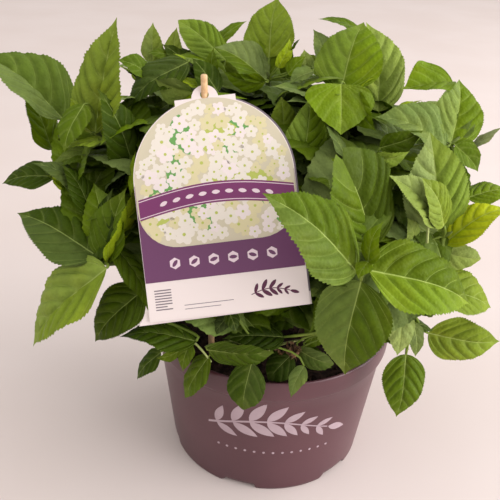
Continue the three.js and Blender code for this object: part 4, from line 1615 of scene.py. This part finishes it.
def make_pot_sprig():
    """A plain leafy sprig printed on the wall of the pot, with a row of dots under it."""
    shape = bmesh.new()
    start = -POT_SPRIG["length"] / 2 - 6
    rise, length, radius = POT_SPRIG["rise"], POT_SPRIG["length"], POT_SPRIG["dot_radius"]

    def stem(share, side):
        return start + length * share, rise * math.sin(math.pi * share) + side * (1.3 - 0.7 * share)

    add_patch(shape, stem, 40, 1)
    for (x, y), turn, size, width in sprig_parts(length, POT_SPRIG["pairs"], POT_SPRIG["leaf"], rise):
        def leaf(share, side):
            along = size * share + 1.2
            across = side * width / 2 * math.sin(math.pi * share**0.85) ** 0.9
            return (
                start + x + along * math.cos(turn) - across * math.sin(turn),
                y + along * math.sin(turn) + across * math.cos(turn),
            )

        add_patch(shape, leaf, 9)
    for number in range(POT_SPRIG["dots"]):
        def dot(share, side):
            middle = POT_SPRIG["first_dot"] + POT_SPRIG["dot_step"] * number
            height = POT_SPRIG["dot_height"] + side * radius * math.sin(math.pi * share)
            return middle + radius * math.cos(math.pi * share), height

        add_patch(shape, dot, 5)
    bmesh.ops.remove_doubles(shape, verts=shape.verts, dist=0.02)
    bmesh.ops.dissolve_degenerate(shape, dist=0.01, edges=shape.edges)
    bmesh.ops.recalc_face_normals(shape, faces=shape.faces)
    bmesh.ops.solidify(shape, geom=list(shape.faces), thickness=0.14)
    bmesh.ops.recalc_face_normals(shape, faces=shape.faces)
    return mesh_of(shape, smooth=False)


# ---------------------------------------------------------------- stage and light

DOME = {
    "towards": (0.4, 0.05, 0.92), "low": -0.3, "high": 1.0, "dim": 0.5, "bright": 1.0,
    "color": (1.0, 0.965, 0.945, 1),
}
LAMP_COLOR = (1.0, 0.975, 0.975)
LAMPS = {
    "window": {"place": (2.4, -0.1, 1.8), "towards": (0, 0.1, 0.1), "long": 5.0, "high": 1.5, "power": 64},
    "low": {"place": (2.6, -0.8, 0.6), "towards": (0, 0, 0.25), "long": 2.2, "high": 0.9, "power": 52},
    "fill": {"place": (-2.3, -1.1, 1.3), "towards": (0, -0.2, 0.1), "long": 2.5, "high": 1.5, "power": 14},
}


def make_stage():
    shape = bmesh.new()
    bmesh.ops.create_circle(shape, cap_ends=True, cap_tris=False, segments=64, radius=7000)
    floor = new_object("floor", mesh_of(shape, smooth=False))
    floor.data.materials.append(mottled_finish("floor_paper"))


def hang_lamp(name, place, towards, long, high, power):
    """A soft oblong lamp, turned towards a spot."""
    lamp = bpy.data.lights.new(name, "AREA")
    lamp.shape = "RECTANGLE"
    lamp.size = long
    lamp.size_y = high
    lamp.energy = power
    lamp.color = LAMP_COLOR
    holder = new_object(name, lamp)
    holder.location = place
    holder.rotation_euler = (Vector(place) - Vector(towards)).to_track_quat("Z", "Y").to_euler()


def light_studio():
    """A soft dome of light, brightest overhead, with wide lamps at the right and a weak one at the left."""
    world = bpy.data.worlds.new("studio")
    world.use_nodes = True
    tree = world.node_tree
    place = tree.nodes.new("ShaderNodeTexCoord").outputs["Generated"]
    towards = tree.nodes.new("ShaderNodeVectorMath")
    towards.operation = "DOT_PRODUCT"
    feed(tree, towards, {0: place, 1: DOME["towards"]})
    level = add_range(tree, towards.outputs["Value"], DOME["low"], DOME["high"], DOME["dim"], DOME["bright"])
    feed(tree, tree.nodes["Background"], {"Color": DOME["color"], "Strength": level})
    bpy.context.scene.world = world
    for name, lamp in LAMPS.items():
        hang_lamp(name, **lamp)
    bpy.context.scene.view_settings.view_transform = "Standard"
    bpy.context.scene.view_settings.look = "None"


# ---------------------------------------------------------------- putting it together

place_camera()
make_stage()
light_studio()

for tint, bundle in leaves.items():
    if bundle.points:
        replaced = nodes_named("foliage_") if tint == "mid" else ()
        put("leaves_" + tint, bundle.mesh(), leaf_finishes(tint), replaced)

bough_green = mottled_finish("bough_green")
compost_brown = mottled_finish("compost_brown")
inks = [ink_finish(name, paint(*color)) for name, color in INKS.items()]
put("petioles", petioles.mesh(), [mottled_finish("petiole_green")])
put("twigs", make_twigs(), [bough_green])
put("bare_stalks", make_bare_stalks(), [mottled_finish("stalk_pale")])
put("dry_husks", make_husks(), [mottled_finish("husk_brown")])
put("boughs", make_boughs(), [bough_green], nodes_named("bough_"))
put("stems", make_stems(), [mottled_finish("stem_bark")], nodes_named("stem_"))
put("pot_shell", make_pot(), [mottled_finish("pot_plum")], ["pot"])
put("compost_crust", make_compost(), [compost_brown], ["compost"])
put("compost_crumbs", make_crumbs(), [compost_brown])
put("card_front", make_card_front(), inks[:1], ["care_card"])
put("card_rear", make_card_rear(), inks)
put("card_print", make_card_print(), inks)
put("cane", make_stick(), [mottled_finish("bamboo_cane")], ["card_stick"])
put("pot_sprig", make_pot_sprig(), [mottled_finish("pot_print")])
